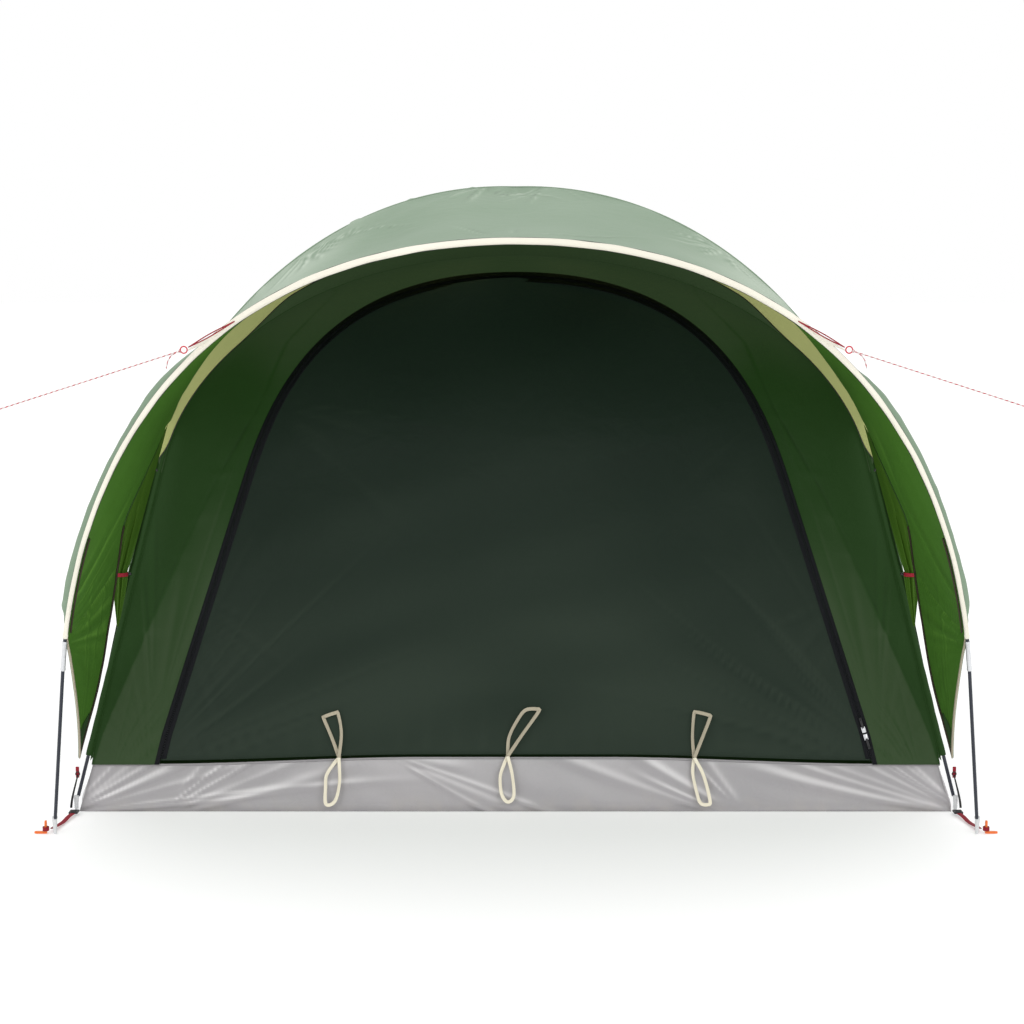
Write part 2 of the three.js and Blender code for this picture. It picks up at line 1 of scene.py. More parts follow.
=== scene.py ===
"""Looks of a dome tent on three poles: a zipped inner tent on a tub floor, under an outer sheet with a porch.

Everything is in metres, +X right, +Y to the rear, +Z up, with the origin in the middle of the floor.
"""

import logging
import math
from collections.abc import Callable, Iterable, Sequence
from dataclasses import dataclass, field
from enum import Enum
from functools import cached_property

import bmesh
import bpy
import numpy as np
from mathutils import Matrix, Vector


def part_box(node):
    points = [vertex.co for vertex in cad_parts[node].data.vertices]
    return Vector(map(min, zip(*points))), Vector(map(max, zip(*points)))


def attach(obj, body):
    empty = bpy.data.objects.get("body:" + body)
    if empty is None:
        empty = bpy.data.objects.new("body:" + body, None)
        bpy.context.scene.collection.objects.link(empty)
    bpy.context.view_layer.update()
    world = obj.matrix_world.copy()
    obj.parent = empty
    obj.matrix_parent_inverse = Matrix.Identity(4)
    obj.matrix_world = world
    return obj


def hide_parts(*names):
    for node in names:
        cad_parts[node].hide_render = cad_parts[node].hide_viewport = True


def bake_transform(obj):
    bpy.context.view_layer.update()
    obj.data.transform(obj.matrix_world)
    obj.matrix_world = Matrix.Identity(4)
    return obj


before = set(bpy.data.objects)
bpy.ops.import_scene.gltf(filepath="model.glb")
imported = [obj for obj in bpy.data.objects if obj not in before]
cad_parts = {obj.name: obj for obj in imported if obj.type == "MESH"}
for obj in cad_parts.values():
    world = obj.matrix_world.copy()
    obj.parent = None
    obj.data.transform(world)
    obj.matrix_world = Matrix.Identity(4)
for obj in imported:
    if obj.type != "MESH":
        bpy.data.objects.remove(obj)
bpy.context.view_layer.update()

LOG = logging.getLogger("tent")

Colour = tuple[float, float, float]
Grid = np.ndarray

DEPTH_RATIO = 0.875
LEG_LEAN = 13.35
SIDES = {"left": -1, "right": 1}
CORNERS = {"front_left": (-1, -1), "front_right": (1, -1), "rear_left": (-1, 1), "rear_right": (1, 1)}
TENT_MIDDLE = (0.0, -0.2, 0.45)


# ---- Curves that cloth and poles share ----------------------------------------------------


@dataclass(frozen=True)
class Arch:
    """Half of a symmetric arch: a straight leg up to a knee, then one curve to the top."""

    foot: float
    lean: float
    knee: float
    knee_pull: float
    top_pull: float
    top: float

    @cached_property
    def table(self) -> tuple[Grid, Grid, Grid]:
        """Half widths, heights and shares of the length at many points from foot to top."""
        angle = math.radians(self.lean)
        knee_half = self.foot - self.knee * math.tan(angle)
        start = np.array([knee_half, self.knee])
        first = start + self.knee_pull * np.array([-math.sin(angle), math.cos(angle)])
        second = np.array([self.top_pull, self.top])
        end = np.array([0.0, self.top])
        t = np.linspace(0, 1, 900)[1:, None]
        curve = (1 - t) ** 3 * start + 3 * (1 - t) ** 2 * t * first + 3 * (1
            - t) * t * t * second + t**3 * end
        leg = np.linspace([self.foot, 0.0], start, 60)
        points = np.vstack([leg, curve])
        steps = np.hypot(*np.diff(points, axis=0).T)
        length = np.concatenate([[0.0], np.cumsum(steps)])
        return points[:, 0], points[:, 1], length / length[-1]

    def at(self, share: Grid | float) -> tuple[Grid, Grid]:
        """Half width and height at a share of the arch's length."""
        halves, heights, shares = self.table
        return np.interp(share, shares, halves), np.interp(share, shares, heights)

    def share_at_height(self, height: float) -> float:
        """The share of the length at which the arch reaches a height."""
        _, heights, shares = self.table
        return float(np.interp(height, heights, shares))

    def half_at_height(self, height: Grid | float) -> Grid:
        """Half width at a height."""
        halves, heights, _ = self.table
        return np.interp(height, heights, halves)


FLY_ARCH = Arch(1.205, LEG_LEAN, 0.962, 0.195, 0.638, 1.702)
POLE_ARCH_UPPER = Arch(1.191, LEG_LEAN, 0.958, 0.195, 0.630, 1.687)
POLE_ARCH_LOWER = Arch(1.191, LEG_LEAN, 0.958, 0.195, 0.630, 1.6765)
INNER_ARCH = Arch(1.182, LEG_LEAN, 0.955, 0.209, 0.655, 1.490)
BROW_ARCH = Arch(1.200, 7.5, 0.466, 0.474, 0.796, 1.521)
BROW_FOOT_Y = -1.230
BROW_LEAN = math.tan(math.radians(13))
SLEEVE_BOTTOM = 0.536


def ridge(arch: Arch, share: Grid | float, side_x: float, side_y: float) -> Grid:
    """Points on one of the four ridges under an arch.

    Args:
        arch: the crossing arch that the ridge follows.
        share: shares of the arch's length, from foot to top.
        side_x: -1 for left, 1 for right.
        side_y: -1 for front, 1 for rear.

    Returns:
        Points with a last axis of 3.
    """
    half, height = arch.at(share)
    return np.stack([side_x * half, side_y * DEPTH_RATIO * half, height], axis=-1)


def brow(share: Grid | float, side: Grid | float) -> Grid:
    """Points on the brow pole's middle line, which leans forward as it rises."""
    half, height = BROW_ARCH.at(share)
    return np.stack([side * half, BROW_FOOT_Y - height * BROW_LEAN, height + 0 * half], axis=-1)


def brow_over(from_height: float, count: int) -> Grid:
    """The whole brow from one side to the other, starting at a height on each leg."""
    start = BROW_ARCH.share_at_height(from_height)
    shares = np.linspace(start, 1, count)
    return np.vstack([brow(shares, -1), brow(shares[-2::-1], 1)])


# ---- Wrinkles ------------------------------------------------------------------------------


def smooth(value: Grid | float, low: float, high: float) -> Grid:
    """A smooth step from 0 at low to 1 at high."""
    t = np.clip((np.asarray(value, float) - low) / (high - low), 0, 1)
    return t * t * (3 - 2 * t)


@dataclass(frozen=True)
class Fan:
    """Folds that spread from a point where the cloth is pulled."""

    centre: tuple[float, float]
    depth: float
    reach: float
    start: float = 0.03
    finest: int = 46
    count: int = 9
    seed: int = 1

    def height(self, x: Grid, y: Grid) -> Grid:
        """Height of the folds at places on the cloth, in metres."""
        draw = np.random.RandomState(self.seed)
        angle = np.arctan2(y - self.centre[1], x - self.centre[0])
        distance = np.hypot(x - self.centre[0], y - self.centre[1])
        wave = np.zeros_like(distance)
        for _ in range(self.count):
            turns = draw.uniform(0.25, 1) * self.finest
            wave += draw.uniform(0.5, 1) * np.sin(turns * angle + draw.uniform(0, 2 * math.pi))
        wave = sharpen(wave / math.sqrt(self.count))
        return self.depth * wave * smooth(distance, 0, self.start) * np.exp(-distance / self.reach)


@dataclass(frozen=True)
class Creases:
    """Crisp creases that run out from a pulled point, each with a lit side and a shaded side."""

    centre: tuple[float, float]
    angles: tuple[float, float]
    lengths: tuple[float, float]
    count: int
    width: float = 0.007
    depth: float = 0.002
    start: float = 0.05
    seed: int = 1

    def relief(self, x: Grid, y: Grid) -> tuple[Grid, Grid]:
        """Shape and shading of the creases at some points.

        Args:
            x: places across the cloth, in metres.
            y: places along the cloth, in metres.

        Returns:
            Heights in metres, and how lit (positive) or shaded (negative) the cloth is.
        """
        draw = np.random.RandomState(self.seed)
        angle = np.arctan2(y - self.centre[1], x - self.centre[0])
        distance = np.hypot(x - self.centre[0], y - self.centre[1])
        height, light = np.zeros_like(distance), np.zeros_like(distance)
        for order in range(self.count):
            share = (order + draw.uniform(0.1, 0.9)) / self.count
            middle = math.radians(self.angles[0] + (self.angles[1] - self.angles[0]) * share)
            length = draw.uniform(*self.lengths)
            begin = self.start * draw.uniform(0.5, 2.0)
            turn = angle - middle - draw.uniform(-0.16, 0.16) * distance
            turn = (turn + math.pi) % (2 * math.pi) - math.pi
            width = self.width * draw.uniform(0.6, 1.4) * (0.45 + 0.9 * distance / length)
            across = turn * distance / width
            envelope = smooth(distance, begin, begin + 0.05) * (1 - smooth(distance, 0.55 * length, length))
            strength = draw.uniform(0.5, 1.0) * envelope * np.exp(-(across**2))
            height += self.depth * strength
            light += 1.5 * across * strength
        return height, light


def sharpen(wave: Grid) -> Grid:
    """Turns round waves into folds: narrow crests between broad hollows."""
    return np.exp(1.2 * np.clip(wave, -2, 2)) / 2.2 - 0.6


def wander(x: Grid, y: Grid, scale: float, depth: float, seed: int, stretch: float = 1.0) -> Grid:
    """Broad soft undulation from a few crossing waves.

    Args:
        x: places across the cloth, in metres.
        y: places along the cloth, in metres.
        scale: rough distance between crests, in metres.
        depth: height of the waves, in metres.
        seed: start of the random draws.
        stretch: how much longer the waves are along y than across x.

    Returns:
        Heights in metres.
    """
    draw = np.random.RandomState(seed)
    wave = np.zeros_like(np.asarray(x, float) + y)
    for _ in range(9):
        turn = draw.uniform(0, 2 * math.pi)
        rate = 2 * math.pi / (scale * draw.uniform(0.6, 1.7))
        wave += np.sin(rate * (math.cos(turn) * x + math.sin(turn) * y / stretch)
            + draw.uniform(0, 2 * math.pi))
    return depth * wave / 3


def pucker(distance: Grid, along: Grid, pitch: float, reach: float, depth: float, seed: int) -> Grid:
    """Short gathers across a seam, which fade away from it."""
    draw = np.random.RandomState(seed)
    wave = np.zeros_like(distance + along)
    for _ in range(6):
        rate = 2 * math.pi / (pitch * draw.uniform(0.55, 1.8))
        wave += draw.uniform(0.4, 1) * np.sin(rate * along + draw.uniform(0, 2 * math.pi))
    return depth * sharpen(wave / 1.6) * np.exp(-distance / reach)


# ---- Mesh helpers --------------------------------------------------------------------------


def deselect_all() -> None:
    """Leaves object mode with nothing selected."""
    if bpy.context.object and bpy.context.object.mode != "OBJECT":
        bpy.ops.object.mode_set(mode="OBJECT")
    bpy.ops.object.select_all(action="DESELECT")


def make_active(piece: bpy.types.Object) -> None:
    """Selects one object alone and makes it active."""
    deselect_all()
    piece.select_set(True)
    bpy.context.view_layer.objects.active = piece


def apply_modifiers(piece: bpy.types.Object) -> None:
    """Applies every modifier of a piece in order."""
    make_active(piece)
    for name in [modifier.name for modifier in piece.modifiers]:
        bpy.ops.object.modifier_apply(modifier=name)


def settle(piece: bpy.types.Object, matrix: Matrix | None = None) -> bpy.types.Object:
    """Moves a piece's place into its mesh, so that its object sits at the origin.

    Args:
        piece: the object, with any modifiers already applied.
        matrix: a further placement in the tent's frame.

    Returns:
        The same object.
    """
    bpy.context.view_layer.update()
    piece.data.transform((matrix or Matrix.Identity(4)) @ piece.matrix_world)
    piece.matrix_world = Matrix.Identity(4)
    return piece


def smooth_by_angle(piece: bpy.types.Object, degrees: float = 35) -> None:
    """Shades a piece smooth, except across sharp edges."""
    make_active(piece)
    bpy.ops.object.shade_smooth_by_angle(angle=math.radians(degrees))


def join(name: str, parts: Sequence[bpy.types.Object]) -> bpy.types.Object:
    """Joins copies or sub-parts into one named piece."""
    deselect_all()
    for part in parts:
        part.select_set(True)
    bpy.context.view_layer.objects.active = parts[0]
    bpy.ops.object.join()
    parts[0].name = name
    parts[0].data.name = name
    return parts[0]


def add_finish(piece: bpy.types.Object, *materials: bpy.types.Material) -> None:
    """Gives a piece its materials, in slot order."""
    piece.data.materials.clear()
    for material in materials:
        piece.data.materials.append(material)


def grid_faces(rows: int, columns: int, closed: bool = False) -> list[tuple[int, int, int, int]]:
    """Quads of a grid of points, row by row. A closed grid's last column joins its first."""
    spans = columns if closed else columns - 1
    faces = []
    for row in range(rows - 1):
        for column in range(spans):
            a, b = row * columns + column, row * columns + (column + 1) % columns
            faces.append((a, b, b + columns, a + columns))
    return faces


def grid_normals(points: Grid, inside: Sequence[float]) -> Grid:
    """Unit normals of a grid of points, on the side away from a point inside."""
    along_rows, along_columns = np.gradient(points, axis=0), np.gradient(points, axis=1)
    normals = np.cross(along_rows, along_columns)
    size = np.linalg.norm(normals, axis=-1, keepdims=True)
    normals = np.where(size > 1e-12, normals / np.maximum(size, 1e-12), 0)
    facing = np.sum(normals * (points - np.asarray(inside)), axis=-1).sum()
    return normals if facing >= 0 else -normals


def grid_lengths(points: Grid) -> tuple[float, float]:
    """The longest row and the longest column of a grid of points, in metres."""
    rows = np.linalg.norm(np.diff(points, axis=1), axis=-1).sum(axis=1)
    columns = np.linalg.norm(np.diff(points, axis=0), axis=-1).sum(axis=0)
    return float(rows.max()), float(columns.max())


def grid_area(points: Grid) -> float:
    """Area of a grid of points, in square metres."""
    first = np.cross(points[1:, :-1] - points[:-1, :-1], points[:-1, 1:] - points[:-1, :-1])
    second = np.cross(points[1:, :-1] - points[1:, 1:], points[:-1, 1:] - points[1:, 1:])
    return float(np.linalg.norm(first, axis=-1).sum() + np.linalg.norm(second, axis=-1).sum()) / 2


def metre_uv(points: Grid) -> Grid:
    """UV places in metres: distance along each row from its middle, and along the middle column."""
    across = np.linalg.norm(np.diff(points, axis=1), axis=-1)
    across = np.concatenate([np.zeros((len(points), 1)), np.cumsum(across, axis=1)], axis=1)
    across -= across[:, -1:] / 2
    middle = points[:, points.shape[1] // 2]
    up = np.concatenate([[0.0], np.cumsum(np.linalg.norm(np.diff(middle, axis=0), axis=-1))])
    return np.stack([across, np.repeat(up[:, None], points.shape[1], axis=1)], axis=-1)


def make_sheet(
    name: str,
    points: Grid,
    thickness: float,
    materials: Sequence[bpy.types.Material],
    inside: Sequence[float] = TENT_MIDDLE,
    painted_shading: Grid | None = None,
    uv: Grid | None = None,
) -> bpy.types.Object:
    """A closed sheet of cloth from a grid of points.

    Args:
        name: the piece's name.
        points: grid of points on the cloth's outer face.
        thickness: how thick the cloth is, in metres.
        materials: the outer finish, and the inner one if it differs.
        inside: a point on the inner side.
        painted_shading: painted light and shade at each point, from 0 (painted shade) to 1 (painted light),
            which the finish may read.
        uv: place on the flat cloth at each point, in metres.

    Returns:
        The new object.
    """
    rows, columns = points.shape[:2]
    mesh = bpy.data.meshes.new(name)
    mesh.from_pydata(points.reshape(-1, 3).tolist(), [], grid_faces(rows, columns))
    flat = (metre_uv(points) if uv is None else uv).reshape(-1, 2)
    corners = np.zeros(len(mesh.loops), int)
    mesh.loops.foreach_get("vertex_index", corners)
    mesh.uv_layers.new(name="cloth").data.foreach_set("uv", flat[corners].astype(np.float32).ravel())
    # Painted light and shade, kept on each point for the finish.
    values = (np.full(points.shape[:2], 0.5) if painted_shading is None else np.clip(painted_shading, 0, 1)).ravel()
    mesh.attributes.new("painted_shading", "FLOAT", "POINT").data.foreach_set("value", values.astype(np.float32))
    piece = bpy.data.objects.new(name, mesh)
    bpy.context.collection.objects.link(piece)
    facing = grid_normals(points, inside)
    work = bmesh.new()
    work.from_mesh(mesh)
    bmesh.ops.remove_doubles(work, verts=work.verts, dist=2e-5)
    bmesh.ops.dissolve_degenerate(work, edges=work.edges, dist=1e-6)
    work.faces.ensure_lookup_table()
    middle_row, middle_column = rows // 2, columns // 2
    wanted = Vector(facing[middle_row, middle_column])
    place = Vector(points[middle_row, middle_column])
    nearest = min(work.faces, key=lambda face: (face.calc_center_median() - place).length_squared)
    if nearest.normal.dot(wanted) < 0:
        bmesh.ops.reverse_faces(work, faces=work.faces)
    work.to_mesh(mesh)
    work.free()
    add_finish(piece, *materials)
    wall = piece.modifiers.new("wall", "SOLIDIFY")
    wall.thickness = thickness
    wall.offset = -1
    wall.material_offset = len(materials) - 1
    apply_modifiers(piece)
    bpy.ops.object.shade_smooth()
    return piece


SMALLEST_SIDE = 0.0101
LEAST_SHARE = 0.35


def declare_sheet(
    points: Grid,
) -> None:
    """Works out a sheet's flat width, length and area from the smooth grid that it was cut to, and keeps none
    of them.

    A ribbon narrower than SMALLEST_SIDE is declared that wide, and a sheet that tapers to less than
    LEAST_SHARE of its rectangle is declared narrower than its widest place.

    Args:
        points: the grid before it was creased.
    """
    width, length = (max(size, SMALLEST_SIDE) for size in grid_lengths(points))
    area = min(grid_area(points), width * length)
    width = max(min(width, area / (LEAST_SHARE * length)), SMALLEST_SIDE)


def ribbon_grid(path: Grid, width: float | Grid, facing: Sequence[float] | Grid, columns: int = 5) -> Grid:
    """Points of a flat ribbon along a path.

    Args:
        path: points along the ribbon's middle.
        width: the ribbon's width, or one for each point.
        facing: the direction that its flat side faces, or one for each point.
        columns: points across the ribbon.

    Returns:
        A grid of points, one row for each point of the path.
    """
    along = np.gradient(path, axis=0)
    across = np.cross(along, np.broadcast_to(np.asarray(facing, float), path.shape))
    across /= np.maximum(np.linalg.norm(across, axis=-1, keepdims=True), 1e-9)
    offsets = np.linspace(-0.5, 0.5, columns)
    widths = np.broadcast_to(np.asarray(width, float), (len(path),))
    return path[:, None] + across[:, None] * offsets[None, :, None] * widths[:, None, None]


def smooth_path(points: Sequence[Sequence[float]], count: int) -> Grid:
    """Evenly spaced points on a smooth curve through a few chosen points."""
    knots = np.asarray(points, float)
    padded = np.vstack([2 * knots[0] - knots[1], knots, 2 * knots[-1] - knots[-2]])
    dense = []
    for i in range(1, len(padded) - 2):
        before, start, end, after = padded[i - 1 : i + 3]
        t = np.linspace(0, 1, 40, endpoint=False)[:, None]
        dense.append(
            0.5
            * (
                2 * start
                + (end - before) * t
                + (2 * before - 5 * start + 4 * end - after) * t**2
                + (3 * start - before - 3 * end + after) * t**3
            )
        )
    dense = np.vstack([*dense, knots[-1:]])
    length = np.concatenate([[0.0], np.cumsum(np.linalg.norm(np.diff(dense, axis=0), axis=1))])
    even = np.linspace(0, length[-1], count)
    return np.stack([np.interp(even, length, dense[:, axis]) for axis in range(3)], axis=1)


def tube_rings(path: Grid, radius: float | Grid, sides: int, squash: float = 1.0) -> Grid:
    """Rings of points round a path, carried along it without twisting.

    Args:
        path: points along the middle.
        radius: the tube's radius, one for each point, or one for each point and side.
        sides: points round the tube.
        squash: thickness of the section over its width.

    Returns:
        A grid of points, one ring for each row.
    """
    tangents = np.gradient(path, axis=0)
    tangents /= np.linalg.norm(tangents, axis=1, keepdims=True)
    start = np.cross(tangents[0], [0.0, 0.0, 1.0] if abs(tangents[0][2]) < 0.9 else [0.0, 1.0, 0.0])
    normal = start / np.linalg.norm(start)
    turns = np.linspace(0, 2 * math.pi, sides, endpoint=False)
    radii = np.broadcast_to(np.asarray(radius, float).reshape(-1, 1) if np.ndim(radius) == 1 else radius,
                            (len(path), sides))
    rings = []
    for point, tangent, size in zip(path, tangents, radii):
        normal = normal - tangent * (normal @ tangent)
        normal /= np.linalg.norm(normal)
        other = np.cross(tangent, normal)
        rings.append(point + (np.outer(np.cos(turns), normal) + squash
            * np.outer(np.sin(turns), other)) * size[:, None])
    return np.array(rings)


def make_tube(
    name: str, path: Grid, radius: float | Grid, sides: int, material: bpy.types.Material,
        squash: float = 1.0
) -> bpy.types.Object:
    """A closed soft tube along a path, with UV in metres along it and in turns round it.

    Args:
        name: the piece's name.
        path: points along the middle.
        radius: the tube's radius, or radii as for tube_rings.
        sides: points round the tube.
        material: the tube's finish.
        squash: thickness of the section over its width.

    Returns:
        The new object.
    """
    rings = tube_rings(path, radius, sides, squash)
    faces = grid_faces(len(path), sides, closed=True)
    length = np.concatenate([[0.0], np.cumsum(np.linalg.norm(np.diff(path, axis=0), axis=1))])
    uv = [(length[i // sides + (k > 1)], (i % sides + (k in (1, 2))) / sides)
          for i in range(len(faces)) for k in range(4)]
    last = (len(path) - 1) * sides
    faces += [tuple(range(sides))[::-1], tuple(range(last, last + sides))]
    uv += [(0.0, 0.0)] * sides + [(length[-1], 0.0)] * sides
    mesh = bpy.data.meshes.new(name)
    mesh.from_pydata(rings.reshape(-1, 3).tolist(), [], faces)
    mesh.uv_layers.new(name="cloth").data.foreach_set("uv", np.array(uv, np.float32).ravel())
    mesh.attributes.new("painted_shading", "FLOAT", "POINT").data.foreach_set("value", [0.5] * len(mesh.vertices))
    piece = bpy.data.objects.new(name, mesh)
    bpy.context.collection.objects.link(piece)
    work = bmesh.new()
    work.from_mesh(mesh)
    if work.calc_volume(signed=True) < 0:
        bmesh.ops.reverse_faces(work, faces=work.faces)
    work.to_mesh(mesh)
    work.free()
    add_finish(piece, material)
    make_active(piece)
    bpy.ops.object.shade_smooth()
    return piece


# ---- Rigid pieces, modelled with operators ---------------------------------------------------


def select_faces(piece: bpy.types.Object, chosen: Callable[[bpy.types.MeshPolygon], bool]) -> None:
    """Selects the faces of the active mesh that a test picks, from object mode, then enters edit mode."""
    bpy.ops.object.mode_set(mode="EDIT")
    bpy.ops.mesh.select_all(action="DESELECT")
    bpy.ops.mesh.select_mode(type="FACE")
    bpy.ops.object.mode_set(mode="OBJECT")
    for face in piece.data.polygons:
        face.select = chosen(face)
    bpy.ops.object.mode_set(mode="EDIT")


def turned(name: str, profile: Sequence[tuple[float, float]], material: bpy.types.Material,
           matrix: Matrix | None = None, sides: int = 24, bevel: float = 0.0) -> bpy.types.Object:
    """A turned piece: a disc drawn up ring by ring along its own +Z.

    Args:
        name: the piece's name.
        profile: (radius, height) of each ring from the bottom up.
        material: its finish.
        matrix: where it goes in the tent's frame.
        sides: faces round the piece.
        bevel: width of the rounding at sharp rims.

    Returns:
        The new object.
    """
    deselect_all()
    radius, height = profile[0]
    bpy.ops.mesh.primitive_circle_add(vertices=sides, radius=radius, fill_type="NGON",
        location=(0, 0, height))
    piece = bpy.context.object
    piece.name = name
    settle(piece)
    for next_radius, next_height in profile[1:]:
        select_faces(piece, lambda face: face.center.z > height - 1e-7 and abs(face.normal.z) > 0.9)
        bpy.ops.mesh.extrude_region_move(TRANSFORM_OT_translate={"value": (0, 0, next_height - height)})
        scale = next_radius / radius
        bpy.ops.transform.resize(value=(scale, scale, 1), center_override=(0, 0, next_height))
        bpy.ops.object.mode_set(mode="OBJECT")
        radius, height = next_radius, next_height
    return finish_rigid(piece, material, matrix, bevel)


def finish_rigid(piece: bpy.types.Object, material: bpy.types.Material, matrix: Matrix | None,
                 bevel: float, segments: int = 2) -> bpy.types.Object:
    """Turns the faces outwards, rounds the edges, shades, dresses and places a rigid piece."""
    make_active(piece)
    bpy.ops.object.mode_set(mode="EDIT")
    bpy.ops.mesh.select_all(action="SELECT")
    bpy.ops.mesh.remove_doubles(threshold=1e-6)
    bpy.ops.mesh.normals_make_consistent(inside=False)
    bpy.ops.object.mode_set(mode="OBJECT")
    if bevel:
        rounding = piece.modifiers.new("rounding", "BEVEL")
        rounding.width = bevel
        rounding.segments = segments
        rounding.limit_method = "ANGLE"
        rounding.angle_limit = math.radians(38)
        apply_modifiers(piece)
    smooth_by_angle(piece)
    add_finish(piece, material)
    return settle(piece, matrix)


def slotted_plate(name: str, size: tuple[float, float, float], cells: tuple[int, int],
                  holes: Iterable[tuple[int, int]], material: bpy.types.Material,
                  matrix: Matrix | None = None, bevel: float = 0.0006) -> bpy.types.Object:
    """A plate with square openings: a grid with some cells deleted, drawn out to its thickness.

    Args:
        name: the piece's name.
        size: width, length and thickness.
        cells: cells across and along.
        holes: the cells to leave open, as (across, along).
        material: its finish.
        matrix: where it goes in the tent's frame.
        bevel: width of the rounded edges.

    Returns:
        The new object.
    """
    deselect_all()
    bpy.ops.mesh.primitive_grid_add(x_subdivisions=cells[0], y_subdivisions=cells[1], size=1)
    piece = bpy.context.object
    piece.name = name
    open_cells = set(holes)
    select_faces(piece, lambda face: (
        int((face.center.x + 0.5) * cells[0]), int((face.center.y + 0.5) * cells[1])) in open_cells)
    if open_cells:
        bpy.ops.mesh.delete(type="FACE")
    bpy.ops.mesh.select_all(action="SELECT")
    bpy.ops.transform.resize(value=(size[0], size[1], 1), center_override=(0, 0, 0))
    bpy.ops.mesh.extrude_region_move(TRANSFORM_OT_translate={"value": (0, 0, size[2])})
    bpy.ops.object.mode_set(mode="OBJECT")
    drop = Matrix.Translation((0, 0, -size[2] / 2))
    return finish_rigid(piece, material, (matrix or Matrix.Identity(4)) @ drop, bevel)


def rounded_block(name: str, size: tuple[float, float, float], material: bpy.types.Material,
                  matrix: Matrix | None = None, bevel: float = 0.001,
                      waist: float = 1.0) -> bpy.types.Object:
    """A block with an inset, drawn-in front face and rounded edges.

    Args:
        name: the piece's name.
        size: its size along its own axes.
        material: its finish.
        matrix: where it goes in the tent's frame.
        bevel: width of the rounded edges.
        waist: scale of the raised front face.

    Returns:
        The new object.
    """
    deselect_all()
    bpy.ops.mesh.primitive_cube_add(size=1, location=(0, 0, 0))
    piece = bpy.context.object
    piece.name = name
    bpy.ops.object.mode_set(mode="EDIT")
    bpy.ops.transform.resize(value=(size[0], size[1], size[2] * 0.7), center_override=(0, 0, 0))
    bpy.ops.object.mode_set(mode="OBJECT")
    select_faces(piece, lambda face: face.normal.z > 0.9)
    bpy.ops.mesh.inset(thickness=min(size[0], size[1]) * 0.16)
    bpy.ops.mesh.extrude_region_move(TRANSFORM_OT_translate={"value": (0, 0, size[2] * 0.15)})
    bpy.ops.transform.resize(value=(waist, waist, 1), center_override=(0, 0, 0))
    bpy.ops.object.mode_set(mode="OBJECT")
    return finish_rigid(piece, material, matrix, bevel)


def rod(name: str, path: Grid, radius: float, material: bpy.types.Material) -> bpy.types.Object:
    """A bent rod: a curve with a round section and filled ends, made a mesh."""
    curve = bpy.data.curves.new(name, "CURVE")
    curve.dimensions = "3D"
    spline = curve.splines.new("POLY")
    spline.points.add(len(path) - 1)
    spline.points.foreach_set("co", np.hstack([path, np.ones((len(path), 1))]).astype(np.float32).ravel())
    curve.bevel_depth = radius
    curve.bevel_resolution = 3
    curve.use_fill_caps = True
    piece = bpy.data.objects.new(name, curve)
    bpy.context.collection.objects.link(piece)
    make_active(piece)
    bpy.ops.object.convert(target="MESH")
    piece = bpy.context.object
    return finish_rigid(piece, material, None, 0.0)


def bent_wire(name: str, radius: float, wire: float, degrees: float, material: bpy.types.Material,
              matrix: Matrix | None = None, steps: int = 24) -> bpy.types.Object:
    """A wire bent into an arc or a ring about its own Z: a small disc spun round."""
    deselect_all()
    bpy.ops.mesh.primitive_circle_add(vertices=12, radius=wire, fill_type="NGON", location=(radius, 0, 0),
                                      rotation=(math.pi / 2, 0, 0))
    piece = bpy.context.object
    piece.name = name
    bpy.ops.object.mode_set(mode="EDIT")
    bpy.ops.mesh.select_all(action="SELECT")
    bpy.ops.mesh.spin(steps=steps, angle=math.radians(degrees), center=(0, 0, 0), axis=(0, 0, 1))
    if degrees >= 360:
        bpy.ops.mesh.select_all(action="SELECT")
        bpy.ops.mesh.remove_doubles(threshold=1e-5)
        bpy.ops.mesh.delete_loose(use_faces=False)
        bpy.ops.object.mode_set(mode="OBJECT")
        select_faces(piece, lambda face: len(face.vertices) > 4)
        bpy.ops.mesh.delete(type="ONLY_FACE")
    bpy.ops.object.mode_set(mode="OBJECT")
    return finish_rigid(piece, material, matrix, 0.0)


def frame_at(place: Sequence[float], z_axis: Sequence[float], y_hint: Sequence[float] = (0, 1, 0)) -> Matrix:
    """A placement whose Z points along one direction and whose Y leans towards another."""
    z = Vector(z_axis).normalized()
    x = Vector(y_hint).cross(z)
    x = x.normalized() if x.length > 1e-6 else z.orthogonal().normalized()
    y = z.cross(x)
    return Matrix.Translation(Vector(place)) @ Matrix((x, y, z)).transposed().to_4x4()


# ---- Finishes --------------------------------------------------------------------------------


class NodeWriter:
    """Adds and links the nodes of one tree in few words."""

    def __init__(self, tree: bpy.types.NodeTree) -> None:
        """Starts on a node tree."""
        self.tree = tree

    def add(self, kind: str, inputs: dict | None = None, **settings: object) -> bpy.types.Node:
        """Adds a node.

        Args:
            kind: the node's type name.
            inputs: values, or output sockets to link, by input name or number.
            settings: the node's own properties.

        Returns:
            The new node.
        """
        node = self.tree.nodes.new(kind)
        for key, value in settings.items():
            setattr(node, key, value)
        for key, value in (inputs or {}).items():
            if isinstance(value, bpy.types.NodeSocket):
                self.tree.links.new(value, node.inputs[key])
            else:
                node.inputs[key].default_value = value
        return node

    def maths(self, operation: str, *values: object) -> bpy.types.NodeSocket:
        """Adds a Math node and returns its output."""
        return self.add("ShaderNodeMath", dict(enumerate(values)), operation=operation).outputs[0]

    def blend(self, share: object, first: object, second: object, mode: str = "MIX") -> bpy.types.NodeSocket:
        """Adds a colour Mix node and returns its output."""
        inputs = {"Factor": share, 6: opaque(first), 7: opaque(second)}
        return self.add("ShaderNodeMix", inputs, data_type="RGBA", blend_type=mode).outputs[2]

    def ramp(self, value: bpy.types.NodeSocket, low: float, high: float) -> bpy.types.NodeSocket:
        """Maps a range of a value smoothly onto 0 to 1."""
        inputs = {"Value": value, "From Min": low, "From Max": high}
        return self.add("ShaderNodeMapRange", inputs, interpolation_type="SMOOTHSTEP").outputs["Result"]


